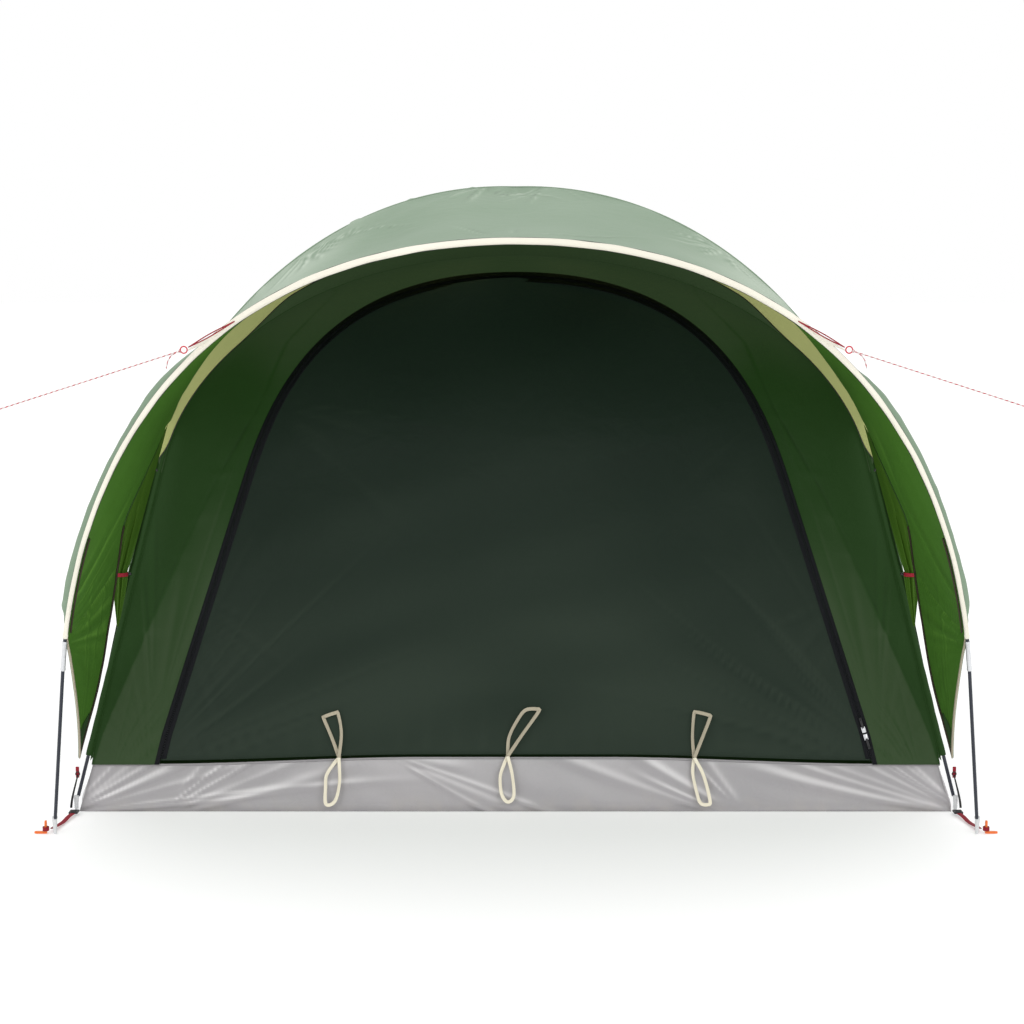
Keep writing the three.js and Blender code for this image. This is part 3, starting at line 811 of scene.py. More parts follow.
def opaque(colour: object) -> object:
    """A colour with full alpha, or a socket as it is."""
    return (*colour, 1.0) if isinstance(colour, tuple) else colour


def build_group(name: str, inputs: dict[str, object], outputs: dict[str, str],
                wire: Callable[[NodeWriter, bpy.types.Node],
                    dict[str, bpy.types.NodeSocket]]) -> bpy.types.NodeTree:
    """Builds a shader node group.

    Args:
        name: the group's name.
        inputs: default value of each input; a None is a vector.
        outputs: socket type of each output.
        wire: adds the nodes and returns what feeds each output.

    Returns:
        The group's node tree.
    """
    tree = bpy.data.node_groups.new(name, "ShaderNodeTree")
    for label, default in inputs.items():
        kind = "NodeSocketVector" if default is None else "NodeSocketFloat"
        socket = tree.interface.new_socket(label, in_out="INPUT", socket_type=kind)
        if default is not None:
            socket.default_value = default
    for label, kind in outputs.items():
        tree.interface.new_socket(label, in_out="OUTPUT", socket_type=kind)
    writer = NodeWriter(tree)
    entry = writer.add("NodeGroupInput")
    leave = writer.add("NodeGroupOutput")
    for label, socket in wire(writer, entry).items():
        tree.links.new(socket, leave.inputs[label])
    return tree


class Effects:
    """The node groups that several finishes share."""

    def __init__(self) -> None:
        """Builds every group once."""
        number = "NodeSocketFloat"
        self.weave = build_group("weave", {"Place": None, "Pitch": 0.0012}, {"Height": number},
            self.wire_weave)
        self.crumple = build_group("crumple", {"Place": None, "Size": 0.2}, {"Height": number},
            self.wire_crumple)
        self.cloud = build_group("cloud", {"Place": None, "Size": 0.4}, {"Mask": number}, self.wire_cloud)
        self.wear = build_group("wear", {"Place": None, "Size": 0.01}, {"Mask": number, "Grain": number},
                                self.wire_wear)
        self.dust = build_group("dust", {"Place": None, "Top": 0.2}, {"Mask": number}, self.wire_dust)

    @staticmethod
    def wire_weave(writer: NodeWriter, entry: bpy.types.Node) -> dict[str, bpy.types.NodeSocket]:
        """Threads over and under one another, a pitch apart."""
        rate = writer.maths("DIVIDE", 2 * math.pi, entry.outputs["Pitch"])
        split = writer.add("ShaderNodeSeparateXYZ", {0: entry.outputs["Place"]})
        warp = writer.maths("SINE", writer.maths("MULTIPLY", split.outputs["X"], rate))
        weft = writer.maths("SINE", writer.maths("MULTIPLY", split.outputs["Y"], rate))
        crossing = writer.maths("MULTIPLY", warp, weft)
        ribs = writer.maths("ADD", writer.maths("ABSOLUTE", warp), writer.maths("ABSOLUTE", weft))
        return {"Height": writer.maths("ADD", writer.maths("MULTIPLY", ribs, 0.3),
            writer.maths("MULTIPLY", crossing, 0.2))}

    @staticmethod
    def wire_crumple(writer: NodeWriter, entry: bpy.types.Node) -> dict[str, bpy.types.NodeSocket]:
        """Sharp creases and soft dents of cloth that was packed away."""
        scale = writer.maths("DIVIDE", 1.0, entry.outputs["Size"])
        dents = writer.add("ShaderNodeTexNoise",
            {"Vector": entry.outputs["Place"], "Scale": scale, "Detail": 4.0,
                                                  "Roughness": 0.55, "Distortion": 0.8})
        creases = writer.add("ShaderNodeTexNoise", {
            "Vector": entry.outputs["Place"], "Scale": writer.maths("MULTIPLY", scale, 1.7), "Detail": 3.0,
            "Roughness": 0.5, "Distortion": 0.3}, noise_type="RIDGED_MULTIFRACTAL")
        sharp = writer.maths("MULTIPLY", creases.outputs[0], 0.25)
        return {"Height": writer.maths("ADD", dents.outputs[0], sharp)}

    @staticmethod
    def wire_cloud(writer: NodeWriter, entry: bpy.types.Node) -> dict[str, bpy.types.NodeSocket]:
        """Slow change of tint over a surface."""
        scale = writer.maths("DIVIDE", 1.0, entry.outputs["Size"])
        noise = writer.add("ShaderNodeTexNoise",
            {"Vector": entry.outputs["Place"], "Scale": scale, "Detail": 3.0})
        return {"Mask": writer.ramp(noise.outputs[0], 0.3, 0.7)}

    @staticmethod
    def wire_wear(writer: NodeWriter, entry: bpy.types.Node) -> dict[str, bpy.types.NodeSocket]:
        """Rubbed patches and a fine grain, for rods and fittings."""
        scale = writer.maths("DIVIDE", 1.0, entry.outputs["Size"])
        patches = writer.add("ShaderNodeTexNoise",
            {"Vector": entry.outputs["Place"], "Scale": scale, "Detail": 6.0,
                                                    "Roughness": 0.65})
        grain = writer.add("ShaderNodeTexNoise", {"Vector": entry.outputs["Place"],
                                                  "Scale": writer.maths("MULTIPLY", scale, 14.0),
                                                      "Detail": 2.0})
        return {"Mask": writer.ramp(patches.outputs[0], 0.55, 0.72), "Grain": grain.outputs[0]}

    @staticmethod
    def wire_dust(writer: NodeWriter, entry: bpy.types.Node) -> dict[str, bpy.types.NodeSocket]:
        """Dust that is thickest at the ground and breaks up towards its top."""
        split = writer.add("ShaderNodeSeparateXYZ", {0: entry.outputs["Place"]})
        height = writer.maths("DIVIDE", split.outputs["Z"], entry.outputs["Top"])
        noise = writer.add("ShaderNodeTexNoise",
            {"Vector": entry.outputs["Place"], "Scale": 22.0, "Detail": 5.0})
        low = writer.maths("SUBTRACT", 1.0, height)
        return {"Mask": writer.ramp(writer.maths("MULTIPLY", low, noise.outputs[0]), 0.3, 0.75)}

    def place(self, writer: NodeWriter, tree: bpy.types.NodeTree, **inputs: object) -> bpy.types.Node:
        """Puts a group into a material with its own values."""
        node = writer.add("ShaderNodeGroup", node_tree=tree)
        for label, value in inputs.items():
            if isinstance(value, bpy.types.NodeSocket):
                writer.tree.links.new(value, node.inputs[label])
            else:
                node.inputs[label].default_value = value
        return node


def start_material(name: str) -> tuple[bpy.types.Material, NodeWriter, bpy.types.Node]:
    """A new material with its node writer and its Principled shader."""
    material = bpy.data.materials.new(name)
    material.use_nodes = True
    writer = NodeWriter(material.node_tree)
    return material, writer, material.node_tree.nodes["Principled BSDF"]


@dataclass(frozen=True)
class ClothFinish:
    """Woven cloth: its colour, how it varies, its painted light and shade, its painted glow, its threads and
    its creases.
    """

    name: str
    colour: Colour
    faded: Colour
    # light: a painted highlight, the colour where the sheet's painted shading is 1.
    light: Colour
    roughness: float = 0.6
    specular: float = 0.3
    sheen: float = 0.0
    pitch: float = 0.0012
    weave_depth: float = 0.00010
    crumple_size: float = 0.16
    crumple_depth: float = 0.004
    # A painted glow: emission that lifts the cloth as if lit, though it is no lamp.
    painted_glow: float = 0.0
    dust: float = 0.0

    def build(self, effects: Effects) -> bpy.types.Material:
        """Makes the material. Its colour varies at random between colour and faded, and goes towards the
        painted highlight light or towards a painted shade with the sheet's painted light and shade.

        Args:
            effects: the shared node groups.

        Returns:
            The new material.
        """
        material, writer, shader = start_material(self.name)
        flat = writer.add("ShaderNodeUVMap", uv_map="cloth").outputs[0]
        space = writer.add("ShaderNodeTexCoord").outputs["Object"]
        painted_shading = writer.add("ShaderNodeAttribute", attribute_name="painted_shading").outputs["Fac"]
        cloud = effects.place(writer, effects.cloud, Place=space, Size=0.5).outputs["Mask"]
        weave = effects.place(writer, effects.weave, Place=flat, Pitch=self.pitch).outputs["Height"]
        crumple = effects.place(writer, effects.crumple, Place=space,
            Size=self.crumple_size).outputs["Height"]
        colour = writer.blend(cloud, self.colour, self.faded)
        # Painted light above 0.5 of the painted shading, and below it a painted shade, a darker copy of the
        # colour.
        colour = writer.blend(writer.ramp(painted_shading, 0.5, 1.0), colour, self.light)
        deep = writer.blend(1.0, colour, (0.45, 0.45, 0.45), "MULTIPLY")
        colour = writer.blend(writer.ramp(painted_shading, 0.5, 0.0), colour, deep)
        if self.dust:
            dust = effects.place(writer, effects.dust, Place=space, Top=0.14).outputs["Mask"]
            colour = writer.blend(writer.maths("MULTIPLY", dust, self.dust), colour, (0.46, 0.42, 0.36))
        creases = writer.add("ShaderNodeBump",
            {"Height": crumple, "Distance": self.crumple_depth, "Strength": 1.0})
        threads = writer.add("ShaderNodeBump",
            {"Height": weave, "Distance": self.weave_depth, "Strength": 0.8,
                                                "Normal": creases.outputs[0]})
        tree = writer.tree
        tree.links.new(colour, shader.inputs["Base Color"])
        tree.links.new(threads.outputs[0], shader.inputs["Normal"])
        shader.inputs["Roughness"].default_value = self.roughness
        shader.inputs["Specular IOR Level"].default_value = self.specular
        shader.inputs["Sheen Weight"].default_value = self.sheen
        # Painted glow, in the cloth's own colour.
        if self.painted_glow:
            tree.links.new(colour, shader.inputs["Emission Color"])
            shader.inputs["Emission Strength"].default_value = self.painted_glow
        return material


@dataclass(frozen=True)
class HardFinish:
    """A rod, fitting or peg: colour, rubbed patches, grain and gloss."""

    name: str
    colour: Colour
    rubbed: Colour
    roughness: float = 0.4
    metallic: float = 0.0
    size: float = 0.012
    grain_depth: float = 0.00006

    def build(self, effects: Effects) -> bpy.types.Material:
        """Makes the material from the shared node groups."""
        material, writer, shader = start_material(self.name)
        space = writer.add("ShaderNodeTexCoord").outputs["Object"]
        wear = effects.place(writer, effects.wear, Place=space, Size=self.size)
        colour = writer.blend(writer.maths("MULTIPLY", wear.outputs["Mask"], 0.7), self.colour, self.rubbed)
        rough = writer.maths("ADD", self.roughness, writer.maths("MULTIPLY", wear.outputs["Mask"], 0.14))
        bump = writer.add("ShaderNodeBump", {"Height": wear.outputs["Grain"], "Distance": self.grain_depth,
                                             "Strength": 0.7})
        tree = writer.tree
        tree.links.new(colour, shader.inputs["Base Color"])
        tree.links.new(rough, shader.inputs["Roughness"])
        tree.links.new(bump.outputs[0], shader.inputs["Normal"])
        shader.inputs["Metallic"].default_value = self.metallic
        return material


@dataclass(frozen=True)
class CordFinish:
    """Braided cord with coloured flecks along it."""

    name: str
    ground: Colour
    fleck: Colour
    fleck_pitch: float
    strand_pitch: float = 0.004

    def build(self, effects: Effects) -> bpy.types.Material:
        """Makes the material. UV runs in metres along the cord and once round it."""
        material, writer, shader = start_material(self.name)
        flat = writer.add("ShaderNodeUVMap", uv_map="cloth").outputs[0]
        split = writer.add("ShaderNodeSeparateXYZ", {0: flat})
        around = writer.maths("MULTIPLY", split.outputs["Y"], 2 * math.pi)
        along = writer.maths("MULTIPLY", split.outputs["X"], 2 * math.pi / self.fleck_pitch)
        flecks = writer.ramp(writer.maths("SINE", writer.maths("ADD", along, around)), -0.15, 0.15)
        strands = writer.maths("MULTIPLY", split.outputs["X"], 2 * math.pi / self.strand_pitch)
        twist = writer.maths("SINE", writer.maths("ADD", strands, writer.maths("MULTIPLY", around, 3.0)))
        space = writer.add("ShaderNodeTexCoord").outputs["Object"]
        cloud = effects.place(writer, effects.cloud, Place=space, Size=0.02).outputs["Mask"]
        colour = writer.blend(flecks, self.ground, self.fleck)
        colour = writer.blend(writer.maths("MULTIPLY", cloud, 0.3), colour, self.ground)
        bump = writer.add("ShaderNodeBump", {"Height": twist, "Distance": 0.0004, "Strength": 1.0})
        writer.tree.links.new(colour, shader.inputs["Base Color"])
        writer.tree.links.new(bump.outputs[0], shader.inputs["Normal"])
        shader.inputs["Roughness"].default_value = 0.8
        return material


class Finish(Enum):
    """Every finish on the tent. A cloth's third colour is its painted highlight, and its glow is a painted
    glow.
    """

    ROOF = ClothFinish("sage_fly_outside", (0.185, 0.265, 0.180), (0.20, 0.28, 0.195), (0.42, 0.50, 0.40),
        0.55,
                       0.25, crumple_size=0.09, crumple_depth=0.003, dust=0.15)
    # LINING and CEILING are the fly's inside twice: a lit copy with a painted glow under the porch, and a
    # shaded copy with a painted glow in the dome.
    LINING = ClothFinish("lit_fly_inside", (0.038, 0.108, 0.012), (0.030, 0.088, 0.010),
        (0.085, 0.20, 0.028),
                         0.6, 0.15, crumple_depth=0.003, painted_glow=0.30)
    CEILING = ClothFinish("shaded_fly_inside", (0.040, 0.085, 0.028), (0.034, 0.074, 0.024),
        (0.08, 0.15, 0.05),
                          0.6, 0.2, crumple_depth=0.003, painted_glow=0.2)
    # The walls' and the door's glow is a painted glow that lifts their dark cloth.
    WALL = ClothFinish("inner_wall_green", (0.0078, 0.0235, 0.0045), (0.0090, 0.0255, 0.0055),
                       (0.021, 0.037, 0.0155), 0.62, 0.12, crumple_size=0.11, crumple_depth=0.004, painted_glow=0.9)
    DOOR = ClothFinish("inner_door_green", (0.0068, 0.0130, 0.0085), (0.0078, 0.0142, 0.0094),
                       (0.0145, 0.0225, 0.0155), 0.62, 0.14, crumple_size=0.12, crumple_depth=0.0035,
                           painted_glow=0.6)
    TUB = ClothFinish("pale_tub", (0.37, 0.355, 0.365), (0.34, 0.33, 0.34), (0.74, 0.72, 0.73), 0.5, 0.3,
                      crumple_size=0.06, crumple_depth=0.005, dust=0.2)
    # The sleeve's glow is a painted glow.
    CREAM = ClothFinish("cream_sleeve", (0.74, 0.71, 0.62), (0.68, 0.655, 0.56), (0.85, 0.83, 0.76), 0.65,
        0.25,
                        pitch=0.0018, weave_depth=0.0002, crumple_size=0.03, crumple_depth=0.0015, painted_glow=0.12)
    # The olive band stands for the fly's underside lit through from behind: painted light, with a painted
    # glow.
    OLIVE = ClothFinish("backlit_olive_band", (0.33, 0.34, 0.135), (0.29, 0.31, 0.12), (0.42, 0.42, 0.20),
        0.7, 0.15,
                        pitch=0.004, weave_depth=0.0005, crumple_size=0.05, crumple_depth=0.001, painted_glow=0.5)
    # The flap's glow is a painted glow.
    FLAP = ClothFinish("side_door_flap", (0.036, 0.088, 0.007), (0.029, 0.074, 0.006), (0.075, 0.15, 0.018),
        0.6,
                       0.15, crumple_size=0.05, crumple_depth=0.003, painted_glow=0.3)
    BEIGE = ClothFinish("beige_tape", (0.46, 0.41, 0.31), (0.40, 0.36, 0.27), (0.90, 0.84, 0.68), 0.75, 0.2,
                        pitch=0.0016, weave_depth=0.0002, crumple_size=0.02, crumple_depth=0.0006)
    BROWN = ClothFinish("dark_brown_tape", (0.030, 0.022, 0.014), (0.04, 0.03, 0.02), (0.06, 0.05, 0.035),
        0.7,
                        0.2, pitch=0.0016, weave_depth=0.0002, crumple_size=0.02, crumple_depth=0.0006)
    MOSS = ClothFinish("dark_green_patch", (0.022, 0.055, 0.016), (0.028, 0.065, 0.02), (0.05, 0.09, 0.03),
        0.6,
                       0.25, crumple_size=0.03, crumple_depth=0.001)
    ZIP = ClothFinish("black_zip_tape", (0.0055, 0.006, 0.008), (0.008, 0.009, 0.011), (0.02, 0.02, 0.022),
        0.65,
                      0.15, pitch=0.0016, weave_depth=0.0003, crumple_size=0.02, crumple_depth=0.0006)
    CRIMSON = ClothFinish("crimson_webbing", (0.30, 0.010, 0.025), (0.24, 0.008, 0.02), (0.42, 0.04, 0.06),
        0.7,
                          0.25, pitch=0.0022, weave_depth=0.0005, crumple_size=0.02, crumple_depth=0.0004)
    ELASTIC = ClothFinish("black_elastic", (0.010, 0.010, 0.011), (0.016, 0.016, 0.017), (0.03, 0.03, 0.03),
        0.7,
                          0.3, pitch=0.0015, weave_depth=0.0004, crumple_size=0.02, crumple_depth=0.0003)
    NAVY_ROD = HardFinish("navy_glassfibre", (0.012, 0.016, 0.028), (0.035, 0.042, 0.06), 0.32, 0.0)
    STEEL = HardFinish("bright_steel", (0.66, 0.67, 0.69), (0.5, 0.5, 0.5), 0.28, 0.9, 0.006)
    GREY = HardFinish("light_grey_plastic", (0.62, 0.63, 0.64), (0.5, 0.5, 0.49), 0.48)
    BLACK = HardFinish("black_plastic", (0.010, 0.010, 0.011), (0.03, 0.03, 0.03), 0.42)
    ORANGE = HardFinish("orange_plastic", (0.80, 0.17, 0.02), (0.62, 0.14, 0.03), 0.38)
    TAPE_RED = HardFinish("red_ring", (0.52, 0.02, 0.04), (0.4, 0.03, 0.05), 0.45)
    GUY = CordFinish("red_white_cord", (0.75, 0.70, 0.68), (0.52, 0.03, 0.05), 0.014)
    DARK_GUY = CordFinish("dark_red_cord", (0.28, 0.015, 0.025), (0.36, 0.03, 0.04), 0.010)
    PIPING = HardFinish("thin_dark_line", (0.020, 0.024, 0.018), (0.03, 0.035, 0.03), 0.6)


class Wardrobe:
    """Builds each finish the first time that it is asked for."""

    def __init__(self) -> None:
        """Starts with the shared effects and no material."""
        self.effects = Effects()
        self.made: dict[Finish, bpy.types.Material] = {}

    def get(self, finish: Finish) -> bpy.types.Material:
        """The material of a finish."""
        if finish not in self.made:
            self.made[finish] = finish.value.build(self.effects)
        return self.made[finish]


@dataclass
class SubAssembly:
    """What every part of the tent shares: its materials, and how a piece joins the frame."""

    wardrobe: Wardrobe

    def material(self, finish: Finish) -> bpy.types.Material:
        """The material of a finish."""
        return self.wardrobe.get(finish)

    def dress(self, piece: bpy.types.Object, slot: str, *nodes: str, body: str = "root") -> bpy.types.Object:
        """Puts a finished piece on its body, in place of the CAD nodes that it stands for.

        Args:
            piece: the finished object.
            slot: the name of a material slot; not used.
            nodes: CAD nodes that it replaces.
            body: the CAD body that it rides on; an empty name leaves it on no body.

        Returns:
            The same object.
        """
        if body:
            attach(piece, body)
        if nodes:
            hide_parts(*nodes)
        LOG.info("%s: %d faces on %s", piece.name, len(piece.data.polygons), body or "two bodies")
        return piece


# ---- Outer sheet -----------------------------------------------------------------------------


@dataclass
class Flysheet(SubAssembly):
    """The outer sheet: porch with its wings, side and rear panels, seams and edge tapes."""

    thickness: float = 0.0009
    hem: float = 0.100
    ridge_bottom: float = 0.112
    side_cut_top: float = 0.66
    side_cut_y: float = -0.85
    bulge: float = 0.027
    door_foot: float = 0.26
    door_head: float = 0.43
    door_edge: tuple[tuple[float, float], ...] = (
        (0.0, 0.89), (0.04, 0.91), (0.08, 0.945), (0.11, 0.938), (0.14, 0.885), (0.17, 0.80), (0.20, 0.733),
        (0.23, 0.62), (0.26, 0.50), (0.30, 0.545), (0.36, 0.66), (0.40, 0.81), (0.43, 1.0), (1.0, 1.0),
    )

    roof_creases: tuple[Creases, ...] = (
        Creases((-0.08, -0.02), (-150, -50), (0.15, 0.5), 9, 0.008, 0.003, 0.03, 81),
        Creases((0.10, -0.02), (-130, -30), (0.15, 0.5), 9, 0.008, 0.003, 0.03, 82),
        Creases((-0.60, -0.52), (-110, -10), (0.12, 0.45), 10, 0.008, 0.003, 0.02, 83),
        Creases((0.60, -0.52), (-170, -70), (0.12, 0.45), 10, 0.008, 0.003, 0.02, 84),
        Creases((0.0, -1.43), (15, 165), (0.15, 0.7), 9, 0.010, 0.002, 0.10, 85),
    )
    wing_creases: tuple[Creases, ...] = (
        Creases((-1.37, 0.52), (-5, 80), (0.25, 0.7), 9, 0.009, 0.002, 0.03, 91),
        Creases((-1.04, 0.10), (95, 135), (0.3, 0.8), 5, 0.009, 0.002, 0.04, 92),
    )

    def build(self) -> None:
        """Makes every piece of the outer sheet."""
        self.porch()
        for name, side in SIDES.items():
            self.dome_panel(f"fly_{name}_panel", (side, 0), f"fly_side_{name}", 11 + side)
        self.dome_panel("fly_back_panel", (0, 1), "fly_rear_panel", 15)
        self.seams()
        for name, side in SIDES.items():
            self.edge_tapes(name, side)

    def dome_panel(self, name: str, facing: tuple[int, int], node: str, seed: int) -> None:
        """One panel of the dome between two ridges.

        Args:
            name: the piece's name.
            facing: the panel's outward direction as (x, y).
            node: the CAD node that it replaces.
            seed: start of the random draws.
        """
        rows, columns = 84, 84
        shares = np.linspace(FLY_ARCH.share_at_height(self.hem), 1, rows)
        half, height = FLY_ARCH.at(shares)
        low = -half * DEPTH_RATIO if facing[0] else -half
        high = -low
        if facing[0]:
            cut = self.side_cut_y + (low - self.side_cut_y) * np.clip(height / self.side_cut_top, 0, 1)
            low = np.where(height < self.side_cut_top, np.maximum(cut, low), low)
        share = np.linspace(0, 1, columns)
        across = low[:, None] + (high - low)[:, None] * share[None, :]
        tall = np.repeat(height[:, None], columns, axis=1)
        out = np.repeat(half[:, None], columns, axis=1)
        points = (np.stack([facing[0] * out, across, tall], axis=-1) if facing[0]
                  else np.stack([across, facing[1] * DEPTH_RATIO * out, tall], axis=-1))
        rise = np.repeat(np.linspace(0, 1, rows)[:, None], columns, axis=1)
        place = 2 * share[None, :] - 1
        middle = 1 - place**2
        length = np.repeat((shares * FLY_ARCH.table[1].max() * 1.35)[:, None], columns, axis=1)
        edge = (high - low)[:, None] / 2 * (1 - np.abs(place))
        sag = -0.024 * middle * np.sin(math.pi * np.clip(rise * 1.02, 0, 1)) ** 0.8
        wide = float(high[0])
        folds = (
            Fan((-wide, 0.02), 0.0075, 0.55, 0.12, 30, seed=seed).height(across, length)
            + Fan((wide, 0.02), 0.0075, 0.55, 0.12, 30, seed=seed + 3).height(across, length)
            + pucker(edge, length, 0.11, 0.07, 0.0022, seed + 5)
            + wander(across, length, 0.55, 0.004, seed + 7, 1.6)
        )
        hem_lift = 0.022 * middle * np.clip(1 - rise * 6, 0, 1) ** 2
        folds += pucker(rise * 2, across, 0.16, 0.10, 0.004, seed + 9)
        window = np.clip(middle * 5, 0, 1) * np.clip((1 - rise) * 12, 0, 1)
        normals = grid_normals(points, TENT_MIDDLE)
        shaped = points + normals * ((sag + folds) * window)[..., None]
        shaped[..., 2] += hem_lift
        # Painted shade in the folds' hollows and painted light on their crests.
        painted_shading = 0.5 + folds * 14
        piece = make_sheet(name, shaped, self.thickness,
                           [self.material(Finish.ROOF), self.material(Finish.CEILING)], painted_shading=painted_shading)
        self.dress(piece, "fly_cloth", node)
        declare_sheet(points)

    def porch_point(self, rise: Grid, back: Grid, side: Grid) -> Grid:
        """A point of the porch before it is wrinkled.

        Args:
            rise: 0 at the lower edge of a wing, 1 at the middle of the roof.
            back: 0 at the brow, 1 at the ridge.
            side: -1 on the left, 1 on the right.

        Returns:
            Points with a last axis of 3.
        """
        start = BROW_ARCH.share_at_height(SLEEVE_BOTTOM + 0.004)
        tip = FLY_ARCH.share_at_height(self.ridge_bottom)
        front = brow(start + (1 - start) * rise, side)
        rear = ridge(FLY_ARCH, tip + (1 - tip) * rise, side, -1)
        back = np.asarray(back, float)[..., None]
        return front + (rear - front) * (0.004 + 0.996 * back)

    def door_line(self, rise: Grid) -> Grid:
        """How far back a wing reaches at each rise."""
        knots = np.array(self.door_edge)
        spread = np.linspace(-0.018, 0.018, 9)
        return np.mean([np.interp(rise + step, knots[:, 0], knots[:, 1]) for step in spread], axis=0)

    def porch_folds(self, points: Grid, rise: Grid, back: Grid) -> tuple[Grid, Grid]:
        """How far the porch's cloth stands off its smooth shape.

        Args:
            points: the smooth shape.
            rise: rise of each point.
            back: reach of each point from brow to ridge.

        Returns:
            The large displacement and the fine folds, in metres.
        """
        front = self.porch_point(rise, 0 * rise, np.sign(points[..., 0]))
        rear = self.porch_point(rise, 0 * rise + 1, np.sign(points[..., 0]))
        reach = np.linalg.norm(rear - front, axis=-1)
        tall = front[..., 2]
        shoulder = smooth(tall, 0.54, 0.66) * (1 - smooth(tall, 1.14, 1.32))
        distance = back * reach
        bulge = self.bulge * shoulder * (distance / 0.030) * np.exp(1 - distance / 0.030)
        roof = smooth(rise, 0.45, 0.8)
        sag = -0.026 * roof * np.sin(math.pi * back) - 0.010 * (1 - roof) * np.sin(math.pi * back)
        y, z = points[..., 1], points[..., 2]
        mirror = np.sign(points[..., 0])
        along = rise * 2.0 * mirror
        wing = (1 - smooth(rise, 0.35, 0.6))
        corner = Fan((BROW_FOOT_Y - SLEEVE_BOTTOM * BROW_LEAN - 0.02, SLEEVE_BOTTOM - 0.02), 0.0075, 0.50,
            0.05, 30,
                     12, seed=4).height(y, z)
        tip = Fan((-1.03, 0.10), 0.005, 0.22, 0.03, 20, seed=8).height(y, z)
        apex = Fan((0.0, 0.03), 0.0050, 0.75, 0.10, 26, 12, seed=21).height(points[..., 0], y)
        gathers = pucker(distance, along, 0.085, 0.11, 0.0034, 31)
        ridge_gathers = pucker(reach - distance, along, 0.12, 0.10, 0.0026, 33)
        drift = wander(points[..., 0] * 1.2, y + z, 0.42, 0.0048, 35, 1.8)
        low = 1 - smooth(tall, 0.6, 0.8)
        folds = wing * (corner + tip) + roof * apex + gathers + ridge_gathers + drift * (1 - 0.7 * low)
        folds = folds - shoulder * gathers * 0.8
        calm = 0.12 + 0.88 * smooth(rise, 0.0, 0.07)
        zip_side = (self.door_line(rise) - back) * reach
        calm = calm * np.where(rise < self.door_head, 0.12 + 0.88 * smooth(zip_side, 0.0, 0.07), 1)
        return bulge + sag, folds * calm * smooth(back, 0, 0.02)

    def porch(self) -> None:
        """The porch as one sheet: from the foot of one wing, over the roof, to the foot of the other."""
        across = np.linspace(-1, 1, 361)
        rise = np.repeat(1 - np.abs(across)[None, :], 64, axis=0)
        side = np.where(across < 0, -1.0, 1.0)[None, :] * np.ones((64, 1))
        back = np.linspace(0, 1, 64)[:, None] ** 1.15 * self.door_line(rise)
        points = self.porch_point(rise, back, side)
        large, folds = self.porch_folds(points, rise, back)
        reaches_ridge = np.where(self.door_line(rise) > 0.999, np.clip((1 - back) * 25, 0, 1), 1)
        normals = grid_normals(points, (0, -0.6, 0.3))
        shaped = points + normals * ((large + folds) * reaches_ridge)[..., None]
        roof = smooth(rise, 0.45, 0.7)
        # Painted shade in the folds, painted light on the roof's shoulders, and painted lit and shaded sides
        # of the creases.
        painted_shading = 0.5 + folds * (30 - 22 * roof) + 0.34 * roof * smooth(np.abs(points[..., 0]), 0.30, 0.75)
        for creases in self.roof_creases:
            height, light = creases.relief(points[..., 0], points[..., 1])
            shaped += normals * (height * roof * reaches_ridge)[..., None]
            painted_shading += 0.42 * light * roof
        for creases in self.wing_creases:
            height, light = creases.relief(points[..., 1], points[..., 2])
            shaped += normals * (height * (1 - roof) * reaches_ridge)[..., None]
            painted_shading += 0.36 * light * (1 - roof)
        piece = make_sheet("fly_porch", shaped, self.thickness,
                           [self.material(Finish.ROOF), self.material(Finish.LINING)], (0, -0.6, 0.3), painted_shading)
        self.dress(piece, "fly_cloth", "fly_porch_roof", "fly_wing_left", "fly_wing_right")
        declare_sheet(points)

    def seams(self) -> None:
        """A felled seam along each ridge of the dome."""
        bottom = FLY_ARCH.share_at_height(self.hem)
        for name, (side_x, side_y) in CORNERS.items():
            start = bottom if side_y > 0 else FLY_ARCH.share_at_height(self.side_cut_top)
            path = ridge(FLY_ARCH, np.linspace(start, 1, 90), side_x, side_y)
            seam = make_tube(f"fly_seam_{name}", path, 0.0030, 8, self.material(Finish.ROOF), 0.6)
            self.dress(seam, "fly_cloth")

    def edge_tapes(self, name: str, side: int) -> None:
        """The tapes on the edges of one wing.

        Args:
            name: left or right.
            side: -1 for left, 1 for right.
        """
        inside = (0.0, -1.2, 0.3)
        back = np.linspace(0.01, float(self.door_line(0.0)), 60)
        hem = self.tape_grid(np.zeros(60), back, side, 0.010, (0.0, 1.0))
        self.tape(f"wing_hem_{name}", hem, Finish.BEIGE, inside)
        rise = np.linspace(0.0, self.door_foot, 90)
        zip_tape = self.tape_grid(rise, self.door_line(rise), side, 0.011, (-1.0, 0.0))
        self.tape(f"wing_zip_{name}", zip_tape, Finish.BROWN, inside)
        rise = np.linspace(self.door_foot, self.door_head - 0.01, 40)
        flap_hem = self.tape_grid(rise, self.door_line(rise), side, 0.006, (-1.0, 0.0))
        self.tape(f"wing_flap_seam_{name}", flap_hem, Finish.MOSS, inside)
        heights = np.linspace(0.555, 0.80, 40)
        strip = np.array([brow(BROW_ARCH.share_at_height(z), side) for z in heights])
        strip += np.array([-side * 0.0095, 0.004, 0.0])
        grid = ribbon_grid(strip, 0.010, (side, -0.35, 0.0))
        self.tape(f"sleeve_guard_{name}", grid, Finish.BROWN, inside)
        patch_rise = np.linspace(0.0, 0.055, 12)[:, None] * np.ones((1, 12))
        limit = self.door_line(patch_rise)
        patch_back = limit - (0.17 - 2.2 * patch_rise) * np.linspace(1, 0, 12)[None, :]
        patch = self.on_wing(patch_rise, patch_back, side, 0.0012)
        self.tape(f"wing_patch_{name}", patch, Finish.MOSS, inside)

